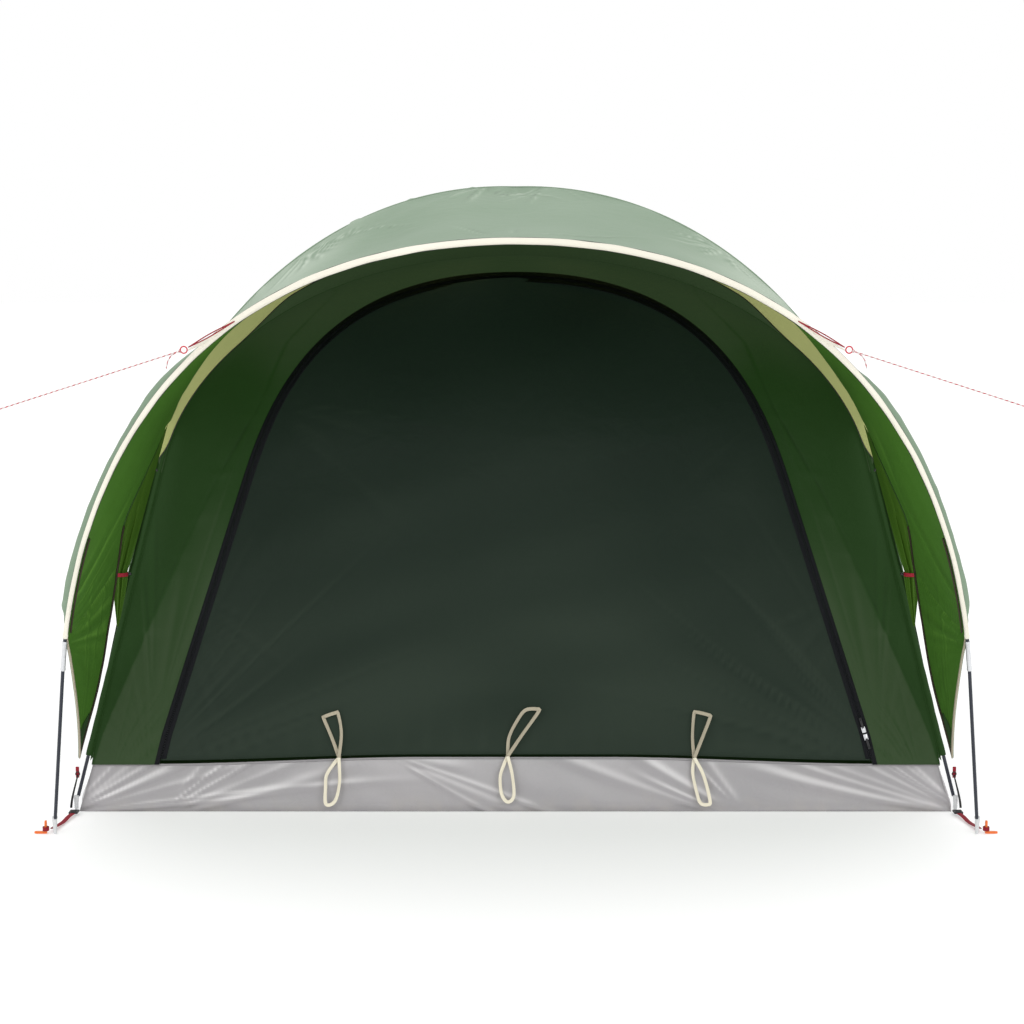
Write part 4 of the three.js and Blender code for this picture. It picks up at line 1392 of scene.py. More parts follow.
    @staticmethod
    def wing_inwards(side: int) -> Grid:
        """The direction from a wing towards the middle of the porch."""
        return np.array([-side * 0.97, -0.10, -0.20])

    def on_wing(self, rise: Grid, back: Grid, side: int, lift: float) -> Grid:
        """Points just inside a wing's wrinkled cloth.

        Args:
            rise: rise of each point.
            back: reach of each point from brow to ridge.
            side: -1 for left, 1 for right.
            lift: how far inside the cloth.

        Returns:
            Points with a last axis of 3.
        """
        points = self.porch_point(rise, back, np.full(rise.shape, float(side)))
        large, folds = self.porch_folds(points, rise, back)
        return points + self.wing_inwards(side) * (lift - 0.96 * (large + folds))[..., None]

    def tape_grid(self, rise: Grid, back: Grid, side: int, width: float, turn: tuple[float, float]) -> Grid:
        """A tape that lies on a wing's edge.

        Args:
            rise: rise of each point of the edge.
            back: reach of each point of the edge.
            side: -1 for left, 1 for right.
            width: the tape's width in metres.
            turn: direction from the edge into the cloth, as (back, rise).

        Returns:
            A grid of points, one row along the edge for each place across the tape.
        """
        sides = np.full(rise.shape, float(side))
        edge = self.porch_point(rise, back, sides)
        step = 1e-3
        inner = self.porch_point(rise + turn[1] * step, back + turn[0] * step, sides)
        into = inner - edge
        into /= np.linalg.norm(into, axis=-1, keepdims=True)
        large, folds = self.porch_folds(edge, rise, back)
        lift = self.wing_inwards(side) * (0.0017 - 0.96 * (large + folds)[:, None])
        return np.array([edge + into * width * share + lift for share in np.linspace(-0.12, 1, 5)])

    def tape(self, name: str, grid: Grid, finish: Finish, inside: tuple[float, float, float]) -> None:
        """Args:
            name: the piece's name.
            grid: its points.
            finish: its finish.
            inside: a point on its inner side.
        """
        piece = make_sheet(name, grid, 0.0032 if finish is not Finish.MOSS else 0.0012,
            [self.material(finish)], inside)
        self.dress(piece, "fly_cloth")
        declare_sheet(grid)


@dataclass
class RidgeBands(SubAssembly):
    """The olive bands inside each ridge, which stand for the fly's side panels seen from below and lit
    through from behind (painted light), and the inner tent's crown between them and its walls.
    """

    bottom: float = 0.925
    thickness: float = 0.0014
    forward: float = 0.010

    def build(self) -> None:
        """Makes the two bands and the four quarters of the crown."""
        for name, (side_x, side_y) in CORNERS.items():
            if side_y < 0:
                self.band(name, side_x, side_y)
            self.crown(name, side_x, side_y)

    def ruled(self, share: Grid, side_x: int, side_y: int) -> tuple[Grid, Grid]:
        """The band's outer edge along the fly's ridge and its inner edge along the inner tent's.

        Args:
            share: places from the band's foot to the apex.
            side_x: -1 for left, 1 for right.
            side_y: -1 for front, 1 for rear.

        Returns:
            Two rows of points.
        """
        fly_start = FLY_ARCH.share_at_height(self.bottom)
        inner_start = INNER_ARCH.share_at_height(self.bottom - 0.05)
        outer = ridge(FLY_ARCH, fly_start + (0.999 - fly_start) * share, side_x, side_y)
        inner = ridge(INNER_ARCH, inner_start + (0.999 - inner_start) * share, side_x, side_y)
        return outer, inner

    def band(self, name: str, side_x: int, side_y: int) -> None:
        """One olive band: painted light for the fly's underside, lit through from behind. It narrows at its
        foot, and towards the apex behind the brow.

        Args:
            name: the corner.
            side_x: -1 for left, 1 for right.
            side_y: -1 for front, 1 for rear.
        """
        share = np.linspace(0, 0.93, 90)
        outer, inner = self.ruled(share, side_x, side_y)
        width = smooth(share, -0.02, 0.10) * (1 - 0.30 * smooth(0.78 - np.abs(inner[:, 0]), 0.0, 0.15))
        first = outer + (inner - outer) * 0.06
        across = np.linspace(0, 1, 7)[None, :, None]
        shift = np.array([0.0, side_y * self.forward, 0.0])
        grid = first[:, None] + ((inner - first) * width[:, None])[:, None] * across + shift
        inside = (0.0, 3.0 * -side_y, 0.3)
        # Painted light: a lit olive sheet where the fly's underside shows in the gap between the ridges.
        piece = make_sheet(f"ridge_band_{name}", grid, self.thickness, [self.material(Finish.OLIVE)], inside)
        self.dress(piece, "fly_cloth")
        declare_sheet(grid)
        edge = make_tube(f"ridge_band_edge_{name}", grid[:, -1], 0.0016, 6, self.material(Finish.PIPING))
        self.dress(edge, "fly_cloth")

    def crown(self, name: str, side_x: int, side_y: int) -> None:
        """The part of the inner tent that reaches up to one pole near the apex.

        Args:
            name: the corner.
            side_x: -1 for left, 1 for right.
            side_y: -1 for front, 1 for rear.
        """
        outer, inner = self.ruled(np.linspace(0.02, 1.002, 90), side_x, side_y)
        first = outer + (inner - outer) * np.array([0.30, 0.30, 0.30])
        shift = np.array([0.0, -self.forward * 0.5, 0.0])
        grid = first[:, None] + (inner - first)[:, None] * np.linspace(0, 1, 7)[None, :, None] + shift
        # Painted light: the crown takes the wall's lit colour.
        painted_shading = np.full(grid.shape[:2], 0.95)
        piece = make_sheet(f"crown_{name}", grid, 0.0008, [self.material(Finish.WALL)],
            (0.0, 3.0 * -side_y, 0.3), painted_shading)
        self.dress(piece, "inner_cloth")
        declare_sheet(grid)


# ---- Poles -----------------------------------------------------------------------------------


@dataclass
class BrowPole(SubAssembly):
    """The porch's pole in its cream sleeve, with bare legs, bright ferrules and foot caps."""

    pole: float = 0.00475
    sleeve: float = 0.0080
    joint_height: float = 0.4925
    tip_height: float = 0.046

    def build(self) -> None:
        """Makes the arch, sleeve, legs, ferrules and feet."""
        arch = rod("brow_arch", brow_over(self.joint_height + 0.001, 120), self.pole,
            self.material(Finish.NAVY_ROD))
        self.dress(arch, "dark_pole", "brow_pole_arch")
        self.sleeve_tube()
        for name, side in SIDES.items():
            self.leg(name, side)

    def sleeve_tube(self) -> None:
        """The sleeve, gathered a little along its length, with a cuff at each end and a thin dark line along
        each side, behind it.
        """
        path = brow_over(SLEEVE_BOTTOM + 0.004, 260)
        length = np.concatenate([[0.0], np.cumsum(np.linalg.norm(np.diff(path, axis=0), axis=1))])
        turns = np.linspace(0, 2 * math.pi, 16, endpoint=False)
        draw = np.random.RandomState(5)
        wave = np.zeros((len(path), 16))
        for _ in range(10):
            rate = 2 * math.pi / draw.uniform(0.05, 0.3)
            wave += np.sin(rate * length[:, None] + draw.randint(1, 4) * turns
                + draw.uniform(0, 2 * math.pi))
        end = np.minimum(length, length[-1] - length)
        cuff = 0.0012 * np.exp(-((end - 0.006) / 0.005) ** 2)
        narrow = 0.74 + 0.26 * smooth(end, 0.25, 1.25)
        radius = self.sleeve * narrow[:, None] * (1 + 0.035 * wave / 2) + cuff[:, None]
        piece = make_tube("brow_sleeve_cloth", path, radius, 16, self.material(Finish.CREAM), 0.92)
        self.dress(piece, "cream_cloth", "brow_sleeve")
        flat_width = 2 * math.pi * self.sleeve
        LOG.info("sleeve cut %.3f m wide and %.3f m long", flat_width, length[-1])
        middle = np.array([0.0, path[0][1], 0.75])
        inwards = middle - path
        inwards[:, 1] = 0
        inwards /= np.linalg.norm(inwards, axis=1, keepdims=True)
        # A thin dark tube along each side of the sleeve, where a dark line runs.
        for label, lift, back in (("inner", 0.0076, 0.0025), ("outer", -0.0074, 0.003)):
            line = path + inwards * lift * narrow[:, None] + np.array([0.0, back, 0.0])
            piping = make_tube(f"sleeve_dark_line_{label}", line[4:-4], 0.0015, 6, self.material(Finish.PIPING))
            self.dress(piping, "cream_cloth")

    def leg(self, name: str, side: int) -> None:
        """One bare leg with its ferrule and foot cap.

        Args:
            name: left or right.
            side: -1 for left, 1 for right.
        """
        heights = np.linspace(self.tip_height - 0.004, self.joint_height, 30)
        path = np.array([brow(BROW_ARCH.share_at_height(z), side) for z in heights])
        leg = rod(f"brow_leg_{name}", path, self.pole, self.material(Finish.NAVY_ROD))
        self.dress(leg, "dark_pole", f"brow_pole_leg_{name}")
        bottom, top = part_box(f"brow_ferrule_{name}")
        low = Vector(brow(BROW_ARCH.share_at_height(bottom.z), side))
        high = Vector(brow(BROW_ARCH.share_at_height(top.z), side))
        length = (high - low).length
        profile = [(0.0058, 0), (0.0064, 0.002), (0.0064, 0.006), (0.0059, 0.0075),
            (0.0059, length - 0.0075),
                   (0.0064, length - 0.006), (0.0064, length - 0.002), (0.0056, length)]
        ferrule = turned(f"ferrule_{name}", profile, self.material(Finish.STEEL),
                         frame_at(low, high - low), 28, 0.0004)
        self.dress(ferrule, "silver_metal", f"brow_ferrule_{name}")
        foot_low, foot_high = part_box(f"brow_foot_{name}")
        middle = (foot_low + foot_high) / 2
        cap = foot_cap(f"brow_foot_cap_{name}", (middle.x, middle.y, 0.0), self.tip_height,
            self.material(Finish.GREY))
        self.dress(cap, "grey_plastic", f"brow_foot_{name}")


def foot_cap(name: str, place: tuple[float, float, float], height: float,
             material: bpy.types.Material) -> bpy.types.Object:
    """A tapering foot cap with a ribbed skirt and a rolled mouth.

    Args:
        name: the piece's name.
        place: the middle of its flat end.
        height: how tall it is.
        material: its finish.

    Returns:
        The new object.
    """
    profile = [(0.0034, 0), (0.0045, 0.0012), (0.0049, 0.010)]
    for rib in range(3):
        base = 0.012 + rib * 0.005
        profile += [(0.0050, base), (0.0059, base + 0.0006), (0.0059, base + 0.0022),
            (0.0052, base + 0.0030)]
    profile += [(0.0060, 0.028), (0.0067, height - 0.006), (0.0076, height - 0.005),
        (0.0076, height - 0.001),
                (0.0066, height)]
    return turned(name, profile, material, Matrix.Translation(place), 24, 0.0004)


@dataclass
class CrossingPoles(SubAssembly):
    """The two poles that cross over the inner tent, with their tips, joints, apex clip and hanging clips."""

    pole: float = 0.00475
    tip_height: float = 0.046
    clip_heights: tuple[float, ...] = (1.08, 1.26, 1.40)

    def build(self) -> None:
        """Makes both poles and what is on them."""
        for name, arch, turn in (("upper", POLE_ARCH_UPPER, 1), ("lower", POLE_ARCH_LOWER, -1)):
            shares = np.linspace(arch.share_at_height(self.tip_height - 0.003), 1, 90)
            left, right = ridge(arch, shares, -1, -turn), ridge(arch, shares[-2::-1], 1, turn)
            pole = rod(f"crossing_pole_{name}", np.vstack([left, right]), self.pole,
                self.material(Finish.NAVY_ROD))
            self.dress(pole, "dark_pole", f"main_pole_{name}")
            joints = [self.ferrule(arch, height, side, turn) for height in (0.55, 1.12) for side in (-1, 1)]
            self.dress(join(f"pole_joints_{name}", joints), "silver_metal")
        for name, (side_x, side_y) in CORNERS.items():
            low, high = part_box(f"pole_tip_{name}")
            middle = (low + high) / 2
            cap = foot_cap(f"pole_cap_{name}", (middle.x, middle.y, 0.0), self.tip_height,
                           self.material(Finish.GREY))
            self.dress(cap, "grey_plastic", f"pole_tip_{name}")
            self.clips(name, side_x, side_y)
            self.sleeve(name, side_x, side_y)
        self.apex_clip()

    def sleeve(self, name: str, side_x: int, side_y: int) -> None:
        """The inner tent's sleeve round one pole, and the strip of cloth that joins it to the ridge.

        Args:
            name: the corner.
            side_x: -1 for left, 1 for right.
            side_y: -1 for front, 1 for rear.
        """
        arch = POLE_ARCH_UPPER if side_x == side_y else POLE_ARCH_LOWER
        heights = np.linspace(0.150, 0.99, 90)
        pole = np.array([ridge(arch, arch.share_at_height(z), side_x, side_y) for z in heights])
        wall = np.array([ridge(INNER_ARCH, INNER_ARCH.share_at_height(z), side_x, side_y) for z in heights])
        turns = np.arange(90)
        radius = 0.0072 + 0.0003 * np.sin(turns * 0.9) + 0.0003 * np.sin(turns * 0.37 + 1)
        tube = make_tube(f"pole_sleeve_{name}", pole, radius, 12, self.material(Finish.WALL), 0.9)
        self.dress(tube, "inner_cloth")
        share = np.linspace(0, 1, 6)[None, :, None]
        grid = wall[:, None] + (pole - wall)[:, None] * share
        web = make_sheet(f"pole_web_{name}", grid, 0.0008, [self.material(Finish.WALL)],
            (0.0, 3.0 * -side_y, 0.3))
        self.dress(web, "inner_cloth")
        declare_sheet(grid)

    def ferrule(self, arch: Arch, height: float, side: int, turn: int) -> bpy.types.Object:
        """A joint sleeve where two rods of a pole meet."""
        share = arch.share_at_height(height)
        low, high = (Vector(ridge(arch, share + step, side, side * turn)) for step in (0, 0.02))
        length = 0.06
        profile = [(0.0053, 0), (0.0057, 0.002), (0.0057, length - 0.002), (0.0053, length)]
        return turned("joint", profile, self.material(Finish.STEEL), frame_at(low, high - low), 20, 0.0003)

    def clips(self, name: str, side_x: int, side_y: int) -> None:
        """Clips that hang one ridge of the inner tent from its pole, each on a short webbing tab."""
        arch = POLE_ARCH_UPPER if side_x == side_y else POLE_ARCH_LOWER
        hooks, tabs = [], []
        for height in self.clip_heights:
            share = arch.share_at_height(height)
            pole = ridge(arch, share, side_x, side_y)
            ahead = ridge(arch, share + 0.01, side_x, side_y)
            wall = ridge(INNER_ARCH, INNER_ARCH.share_at_height(height - 0.006), side_x, side_y)
            placement = frame_at(pole, ahead - pole, pole - wall)
            hooks.append(bent_wire("hook", 0.0062, 0.0014, 250, self.material(Finish.BLACK),
                                   placement @ Matrix.Rotation(math.radians(-35), 4, "Z")))
            reach = wall - pole
            start = pole + reach / np.linalg.norm(reach) * 0.0075
            path = start + (wall - start) * np.linspace(0, 1, 8)[:, None]
            tab = make_sheet("tab", ribbon_grid(path, 0.012, np.cross(ahead - pole, reach)), 0.0012,
                             [self.material(Finish.ELASTIC)])
            tabs.append(tab)
        self.dress(join(f"pole_clips_{name}", hooks), "black_plastic")
        self.dress(join(f"clip_tabs_{name}", tabs), "black_plastic")

    def apex_clip(self) -> None:
        """The block that holds the two poles where they cross."""
        middle = (POLE_ARCH_UPPER.top + POLE_ARCH_LOWER.top) / 2
        block = rounded_block("apex_clip", (0.030, 0.030, 0.006), self.material(Finish.BLACK),
                              Matrix.Translation((0, 0, middle - 0.0115)), 0.0010, 0.9)
        self.dress(block, "black_plastic")


# ---- Inner tent ------------------------------------------------------------------------------


@dataclass
class InnerTent(SubAssembly):
    """The inner tent's four walls. The front wall is open where the door is."""

    thickness: float = 0.0008
    bottom: float = 0.1415
    seam_knots: tuple[tuple[float, float], ...] = ((0.141, 1.146), (0.26, 1.098), (0.72, 0.898),
        (0.85, 0.835),
                                                   (1.07, 0.712), (1.25, 0.640), (1.38, 0.52))

    def build(self) -> None:
        """Makes the walls and their seams."""
        for name, facing, node, seed in (("inner_left", (-1, 0), "inner_left_wall", 41),
                                         ("inner_right", (1, 0), "inner_right_wall", 42),
                                         ("inner_back", (0, 1), "inner_rear_wall", 43)):
            self.wall(name, facing, node, seed)
        self.front()
        for name, (side_x, side_y) in CORNERS.items():
            start = INNER_ARCH.share_at_height(self.bottom)
            path = ridge(INNER_ARCH, np.linspace(start, 1, 80), side_x, side_y)
            seam = make_tube(f"inner_seam_{name}", path, 0.0022, 6, self.material(Finish.WALL), 0.7)
            self.dress(seam, "inner_cloth")

    def wall(self, name: str, facing: tuple[int, int], node: str, seed: int) -> None:
        """One whole wall between two ridges, which hangs in a little between its clips.

        Args:
            name: the piece's name.
            facing: the wall's outward direction as (x, y).
            node: the CAD node that it replaces.
            seed: start of the random draws.
        """
        rows, columns = 70, 64
        shares = np.linspace(INNER_ARCH.share_at_height(self.bottom), 1, rows)
        half, height = (np.repeat(values[:, None], columns, axis=1) for values in INNER_ARCH.at(shares))
        place = np.linspace(-1, 1, columns)[None, :]
        points = (np.stack([facing[0] * half, DEPTH_RATIO * place * half, height], axis=-1) if facing[0]
                  else np.stack([place * half, facing[1] * DEPTH_RATIO * half, height], axis=-1))
        rise = np.repeat(np.linspace(0, 1, rows)[:, None], columns, axis=1)
        across, length = place * half, rise * 1.9
        middle = 1 - place**2
        folds = (
            wander(across, length, 0.4, 0.004, seed, 1.8)
            + Fan((-1.1, 0.0), 0.006, 0.45, 0.1, 30, seed=seed + 10).height(across, length)
            + Fan((1.1, 0.0), 0.006, 0.45, 0.1, 30, seed=seed + 20).height(across, length)
            + pucker(half * (1 - np.abs(place)), length, 0.15, 0.08, 0.003, seed + 30)
        )
        sag = -0.03 * middle * np.sin(math.pi * rise)
        window = np.clip(middle * 6, 0, 1) * np.clip(rise * 18, 0, 1) * np.clip((1 - rise) * 14, 0, 1)
        shaped = points + grid_normals(points, TENT_MIDDLE) * ((sag + folds) * window)[..., None]
        shaped[..., 2] -= sill_drop(across) * np.clip(1 - (height - 0.14) / 0.06, 0, 1)
        # Painted shade in the folds' hollows and painted light on their crests.
        piece = make_sheet(name, shaped, self.thickness, [self.material(Finish.WALL)], painted_shading=0.5 + folds * 25)
        self.dress(piece, "inner_cloth", node)
        declare_sheet(points)

    def front(self) -> None:
        """The front wall as one arch of cloth from the door's edge out to the ridges."""
        rows, across = 60, np.linspace(-1, 1, 361)
        share = 1 - np.abs(across)
        side = np.where(across < 0, -1.0, 1.0)
        start = FRONT_DOOR.share_at_height(self.bottom)
        door_x, door_z = FRONT_DOOR.at(start + (1 - start) * share)
        ridge_start = INNER_ARCH.share_at_height(self.bottom)
        ridge_x, ridge_z = INNER_ARCH.at(ridge_start + (0.999 - ridge_start) * share)
        out = np.linspace(0, 1, rows)[:, None]
        door_z = np.maximum(door_z, self.bottom)
        x = side * (door_x + (ridge_x - door_x) * out)
        z = door_z + (ridge_z - door_z) * out
        x, z = self.kept_on_wall(x, z)
        points = on_front(x, z, 0.0)
        seam = np.interp(z, *np.array(self.seam_knots).T)
        beyond = np.abs(x) - seam
        foot = Fan((0.99, 0.10), 0.0034, 0.30, 0.02, 60, 12, seed=51).height(np.abs(x) + 0.0, z)
        folds = (
            wander(x, z, 0.22, 0.0016, 53, 3.0)
            + foot
            + pucker(np.abs(beyond), z * 1.0, 0.09, 0.03, 0.0012, 54)
        )
        window = np.clip(out * 8, 0, 1) * np.clip((1 - out) * 8, 0, 1) * smooth(z, self.bottom,
            self.bottom + 0.02)
        height, light = Creases((1.10, 0.10), (104, 150), (0.12, 0.34), 9, 0.006, 0.002, 0.03,
            55).relief(np.abs(x), z)
        more_height, more_light = Creases((0.99, 0.16), (84, 112), (0.5, 1.3), 5, 0.010, 0.0018, 0.10,
            56).relief(
            np.abs(x), z)
        folds = folds + height + more_height
        crease = -0.0012 * np.exp(-((beyond / 0.004) ** 2))
        shaped = points + FRONT_NORMAL * ((folds * window) + crease)[..., None]
        # Painted light low on the wall and towards its top, a darker line at the seam, painted shade in the
        # folds' hollows, and painted lit and shaded sides of the creases.
        low_light = (1 - smooth(z, 0.25, 1.05)) * (1 - smooth(beyond, -0.004, 0.004))
        seam_line = np.exp(-((beyond / 0.005) ** 2))
        top_light = smooth(z, 1.02, 1.40)
        painted_shading = 0.46 + 0.46 * low_light + 0.50 * top_light - 0.14 * seam_line + folds * 35 * window
        painted_shading -= 0.24 * (light + more_light) * window
        piece = make_sheet("inner_front", shaped, self.thickness, [self.material(Finish.WALL)], painted_shading=painted_shading)
        self.dress(piece, "inner_cloth", "inner_front_wall")
        declare_sheet(points)

    @staticmethod
    def kept_on_wall(x: Grid, z: Grid) -> tuple[Grid, Grid]:
        """Keeps places on the front wall inside its two ridges."""
        limit = INNER_ARCH.half_at_height(z)
        return np.clip(x, -limit, limit), z


FRONT_DOOR = Arch(1.009, 17.3, 0.877, 0.306, 0.5115, 1.427)
FRONT_SLOPE = DEPTH_RATIO * math.tan(math.radians(LEG_LEAN))
FRONT_NORMAL = np.array([0.0, -1.0, FRONT_SLOPE]) / math.hypot(1.0, FRONT_SLOPE)
HINGE_HEIGHT = 0.146


def sill_drop(across: Grid | float) -> Grid | float:
    """How much lower the seam between the tub and the walls hangs away from the middle of a side."""
    return 0.019 * smooth(np.abs(across), 0.25, 0.98)


def door_outline(margin: float) -> Arch:
    """The door's arch drawn in by a margin from the zip's outer edge."""
    return Arch(1.022 - margin, 17.3, 0.877, 0.306, 0.518 - margin / 2, 1.440 - margin)


def on_front(x: Grid, z: Grid, lift: Grid | float) -> Grid:
    """Points on the front wall's outer face, which curves back towards its top.

    Args:
        x: places across.
        z: heights.
        lift: how far in front of the wall.

    Returns:
        Points with a last axis of 3.
    """
    x, z = np.broadcast_arrays(np.asarray(x, float), np.asarray(z, float))
    z = z - sill_drop(x) * np.clip(1 - (z - 0.14) / 0.06, 0, 1)
    y = -DEPTH_RATIO * INNER_ARCH.half_at_height(z)
    step = 1e-3
    slope = -DEPTH_RATIO * (INNER_ARCH.half_at_height(z + step) - INNER_ARCH.half_at_height(z - step)) / (2
        * step)
    size = np.hypot(1.0, slope)
    points = np.stack([x, y, z], axis=-1)
    normal = np.stack([0 * slope, -1 / size, slope / size], axis=-1)
    return points + normal * np.asarray(lift, float)[..., None]


@dataclass
class InnerDoor(SubAssembly):
    """The door's cloth, drawn closed. On the tent it rolls down about the seam at its sill."""

    margin: float = 0.015
    sill: float = 0.150
    thickness: float = 0.0008
    creases: tuple[tuple[Creases, int], ...] = (
        (Creases((-1.02, 0.10), (6, 68), (0.25, 1.0), 17, 0.008, 0.0022, 0.05, 95), 1),
        (Creases((1.02, 0.10), (112, 174), (0.25, 1.0), 17, 0.008, 0.0022, 0.05, 96), -1),
        (Creases((-0.95, 0.60), (-75, -20), (0.15, 0.45), 7, 0.008, 0.0018, 0.04, 97), 1),
        (Creases((0.93, 0.60), (200, 255), (0.15, 0.45), 7, 0.008, 0.0018, 0.04, 98), -1),
        (Creases((-0.75, 1.10), (-40, 0), (0.3, 0.9), 4, 0.014, 0.0018, 0.05, 99), 1),
        (Creases((0.75, 1.10), (180, 220), (0.3, 0.9), 4, 0.014, 0.0018, 0.05, 100), -1),
    )

    def build(self) -> None:
        """Makes the door's cloth, creased, in the front wall's opening."""
        rows, columns = 130, 200
        arch = door_outline(self.margin)
        start = arch.share_at_height(self.sill)
        shares = start + (1 - start) * np.linspace(0, 1, rows)
        half, height = arch.at(shares)
        place = np.linspace(-1, 1, columns)[None, :]
        x, z = place * half[:, None], np.repeat(height[:, None], columns, axis=1)
        flat = on_front(x, z, 0.0)
        edge = half[:, None] * (1 - np.abs(place))
        folds = (
            wander(x, z, 0.5, 0.0022, 61, 0.55)
            + Fan((-1.0, 0.12), 0.0042, 0.34, 0.02, 44, 12, seed=62).height(x, z)
            + Fan((1.0, 0.12), 0.0042, 0.34, 0.02, 44, 12, seed=63).height(x, z)
            + 0.0028 * np.exp(-(((z - 0.50 + 0.32 * x**2) / 0.05) ** 2)) * np.sin(6 * x + 1)
            + 0.0020 * np.exp(-(((z - 0.34 + 0.20 * x**2) / 0.035) ** 2))
            + pucker(z - self.sill, x, 0.07, 0.05, 0.0018, 64)
        )
        window = np.clip(edge * 12, 0, 1) * smooth(z, self.sill, self.sill + 0.03)
        light = np.zeros(x.shape)
        for creases, turn in self.creases:
            height_here, light_here = creases.relief(x, z)
            folds = folds + height_here
            light += light_here * turn
        shaped = on_front(x, z, folds * window)
        # Painted light towards the bottom, painted shade in the folds' hollows, and painted lit and shaded
        # sides of the creases.
        painted_shading = 0.50 + 0.34 * (1 - smooth(z, 0.2, 1.05)) + folds * window * 30 + 0.22 * light * window
        piece = make_sheet("inner_door_cloth", shaped, self.thickness, [self.material(Finish.DOOR)],
            painted_shading=painted_shading)
        self.dress(piece, "inner_cloth", "inner_door", body="")
        declare_sheet(flat)
        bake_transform(piece)


@dataclass
class DoorZip(SubAssembly):
    """The door's zip: a tape on the wall, a tape on the door, a coil between them and two sliders."""

    half_width: float = 0.013
    lift: float = 0.0021
    thickness: float = 0.0016
    coil: float = 0.0022

    def build(self) -> None:
        """Makes the tapes, coils and sliders."""
        wall = self.band("zip_tape_wall", 0.0, self.half_width, 0.1415)
        self.dress(wall[0], "zip_tape", "door_zip_wall_half")
        declare_sheet(wall[1])
        door = self.band("zip_tape_door", self.half_width + 0.002, 2 * self.half_width + 0.002, 0.153)
        self.dress(door[0], "zip_tape", "door_zip_door_half", body="")
        declare_sheet(door[1])
        self.bend_with_door(door[0])
        for name, margin, body in (("wall", self.half_width - 0.0009, "root"),
            ("door", self.half_width + 0.0030, "")):
            coil = self.coil_run(f"zip_coil_{name}", margin)
            self.dress(coil, "zip_tape", body=body)
            if not body:
                self.bend_with_door(coil)
        for name, turn in (("upper", 1), ("lower", -1)):
            self.slider(name, turn)

    @staticmethod
    def bend_with_door(piece: bpy.types.Object) -> None:
        """Moves a piece's placement into its mesh; it does not bend it."""
        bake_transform(piece)

    @staticmethod
    def run(margin: float, bottom: float, count: int) -> tuple[Grid, Grid]:
        """Places along the door's outline, from one foot over the top to the other."""
        arch = door_outline(margin)
        start = arch.share_at_height(bottom)
        half, height = arch.at(np.linspace(start, 1, count))
        return np.concatenate([-half, half[-2::-1]]), np.concatenate([height, height[-2::-1]])

    def band(self, name: str, outer: float, inner: float, bottom: float) -> tuple[bpy.types.Object, Grid]:
        """One half of the zip's tape.

        Args:
            name: the piece's name.
            outer: margin of its outer edge.
            inner: margin of its inner edge.
            bottom: height of its ends.

        Returns:
            The piece and its grid of points.
        """
        rows = []
        for share in np.linspace(0, 1, 6):
            x, z = self.run(outer + (inner - outer) * share, bottom, 150)
            ripple = 0.0006 * np.sin(np.arange(len(x)) * 1.1 + share * 2)
            rows.append(on_front(x, z, self.lift + ripple * (1 - abs(2 * share - 1))))
        grid = np.array(rows)
        return make_sheet(name, grid, self.thickness, [self.material(Finish.ZIP)]), grid

    def coil_run(self, name: str, margin: float) -> bpy.types.Object:
        """One row of the zip's teeth, as a ridged cord along the tape's edge."""
        x, z = self.run(margin, 0.154, 620)
        path = on_front(x, z, self.lift + self.coil * 0.35)
        radius = np.where(np.arange(len(path)) % 2 == 0, self.coil, self.coil * 0.6)
        return make_tube(name, path, radius, 6, self.material(Finish.ZIP), 0.6)

    def slider(self, name: str, turn: int) -> None:
        """One slider with its bridge and a pull tab on a ring.

        Args:
            name: upper or lower.
            turn: 1 if the tab points up the zip, -1 if down.
        """
        node = f"door_zip_slider_{name}"
        low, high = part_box(node)
        metal = self.material(Finish.STEEL)
        up = np.array([-math.tan(math.radians(17.3)), FRONT_SLOPE, 1.0])
        up /= np.linalg.norm(up)
        height = (low.z + 0.0075) if turn > 0 else (high.z - 0.0075)
        x = 1.022 - 0.014 - height * math.tan(math.radians(17.3))
        centre = on_front(x, height, 0.0051)
        block = frame_at(centre, FRONT_NORMAL, up)
        parts = [
            rounded_block("slider", (0.011, 0.016, 0.0048), metal, block, 0.0008, 0.7),
            bent_wire("bridge", 0.0032, 0.0008, 180, metal,
                      block @ Matrix.Translation((0, 0, 0.0016)) @ Matrix.Rotation(math.radians(90), 4, "Z")
                      @ Matrix.Rotation(math.radians(90), 4, "X")),
        ]
        tab_at = frame_at(centre + up * turn * 0.019 + FRONT_NORMAL * 0.0024, FRONT_NORMAL, up * turn)
        parts.append(slotted_plate("tab", (0.0062, 0.029, 0.0016), (5, 13),
            [(2, 1), (2, 9), (2, 10), (2, 11)],
                                   self.material(Finish.BLACK), tab_at, 0.0004))
        self.dress(join(f"zip_slider_{name}", parts), "silver_metal", node, body=f"slider_{name}")


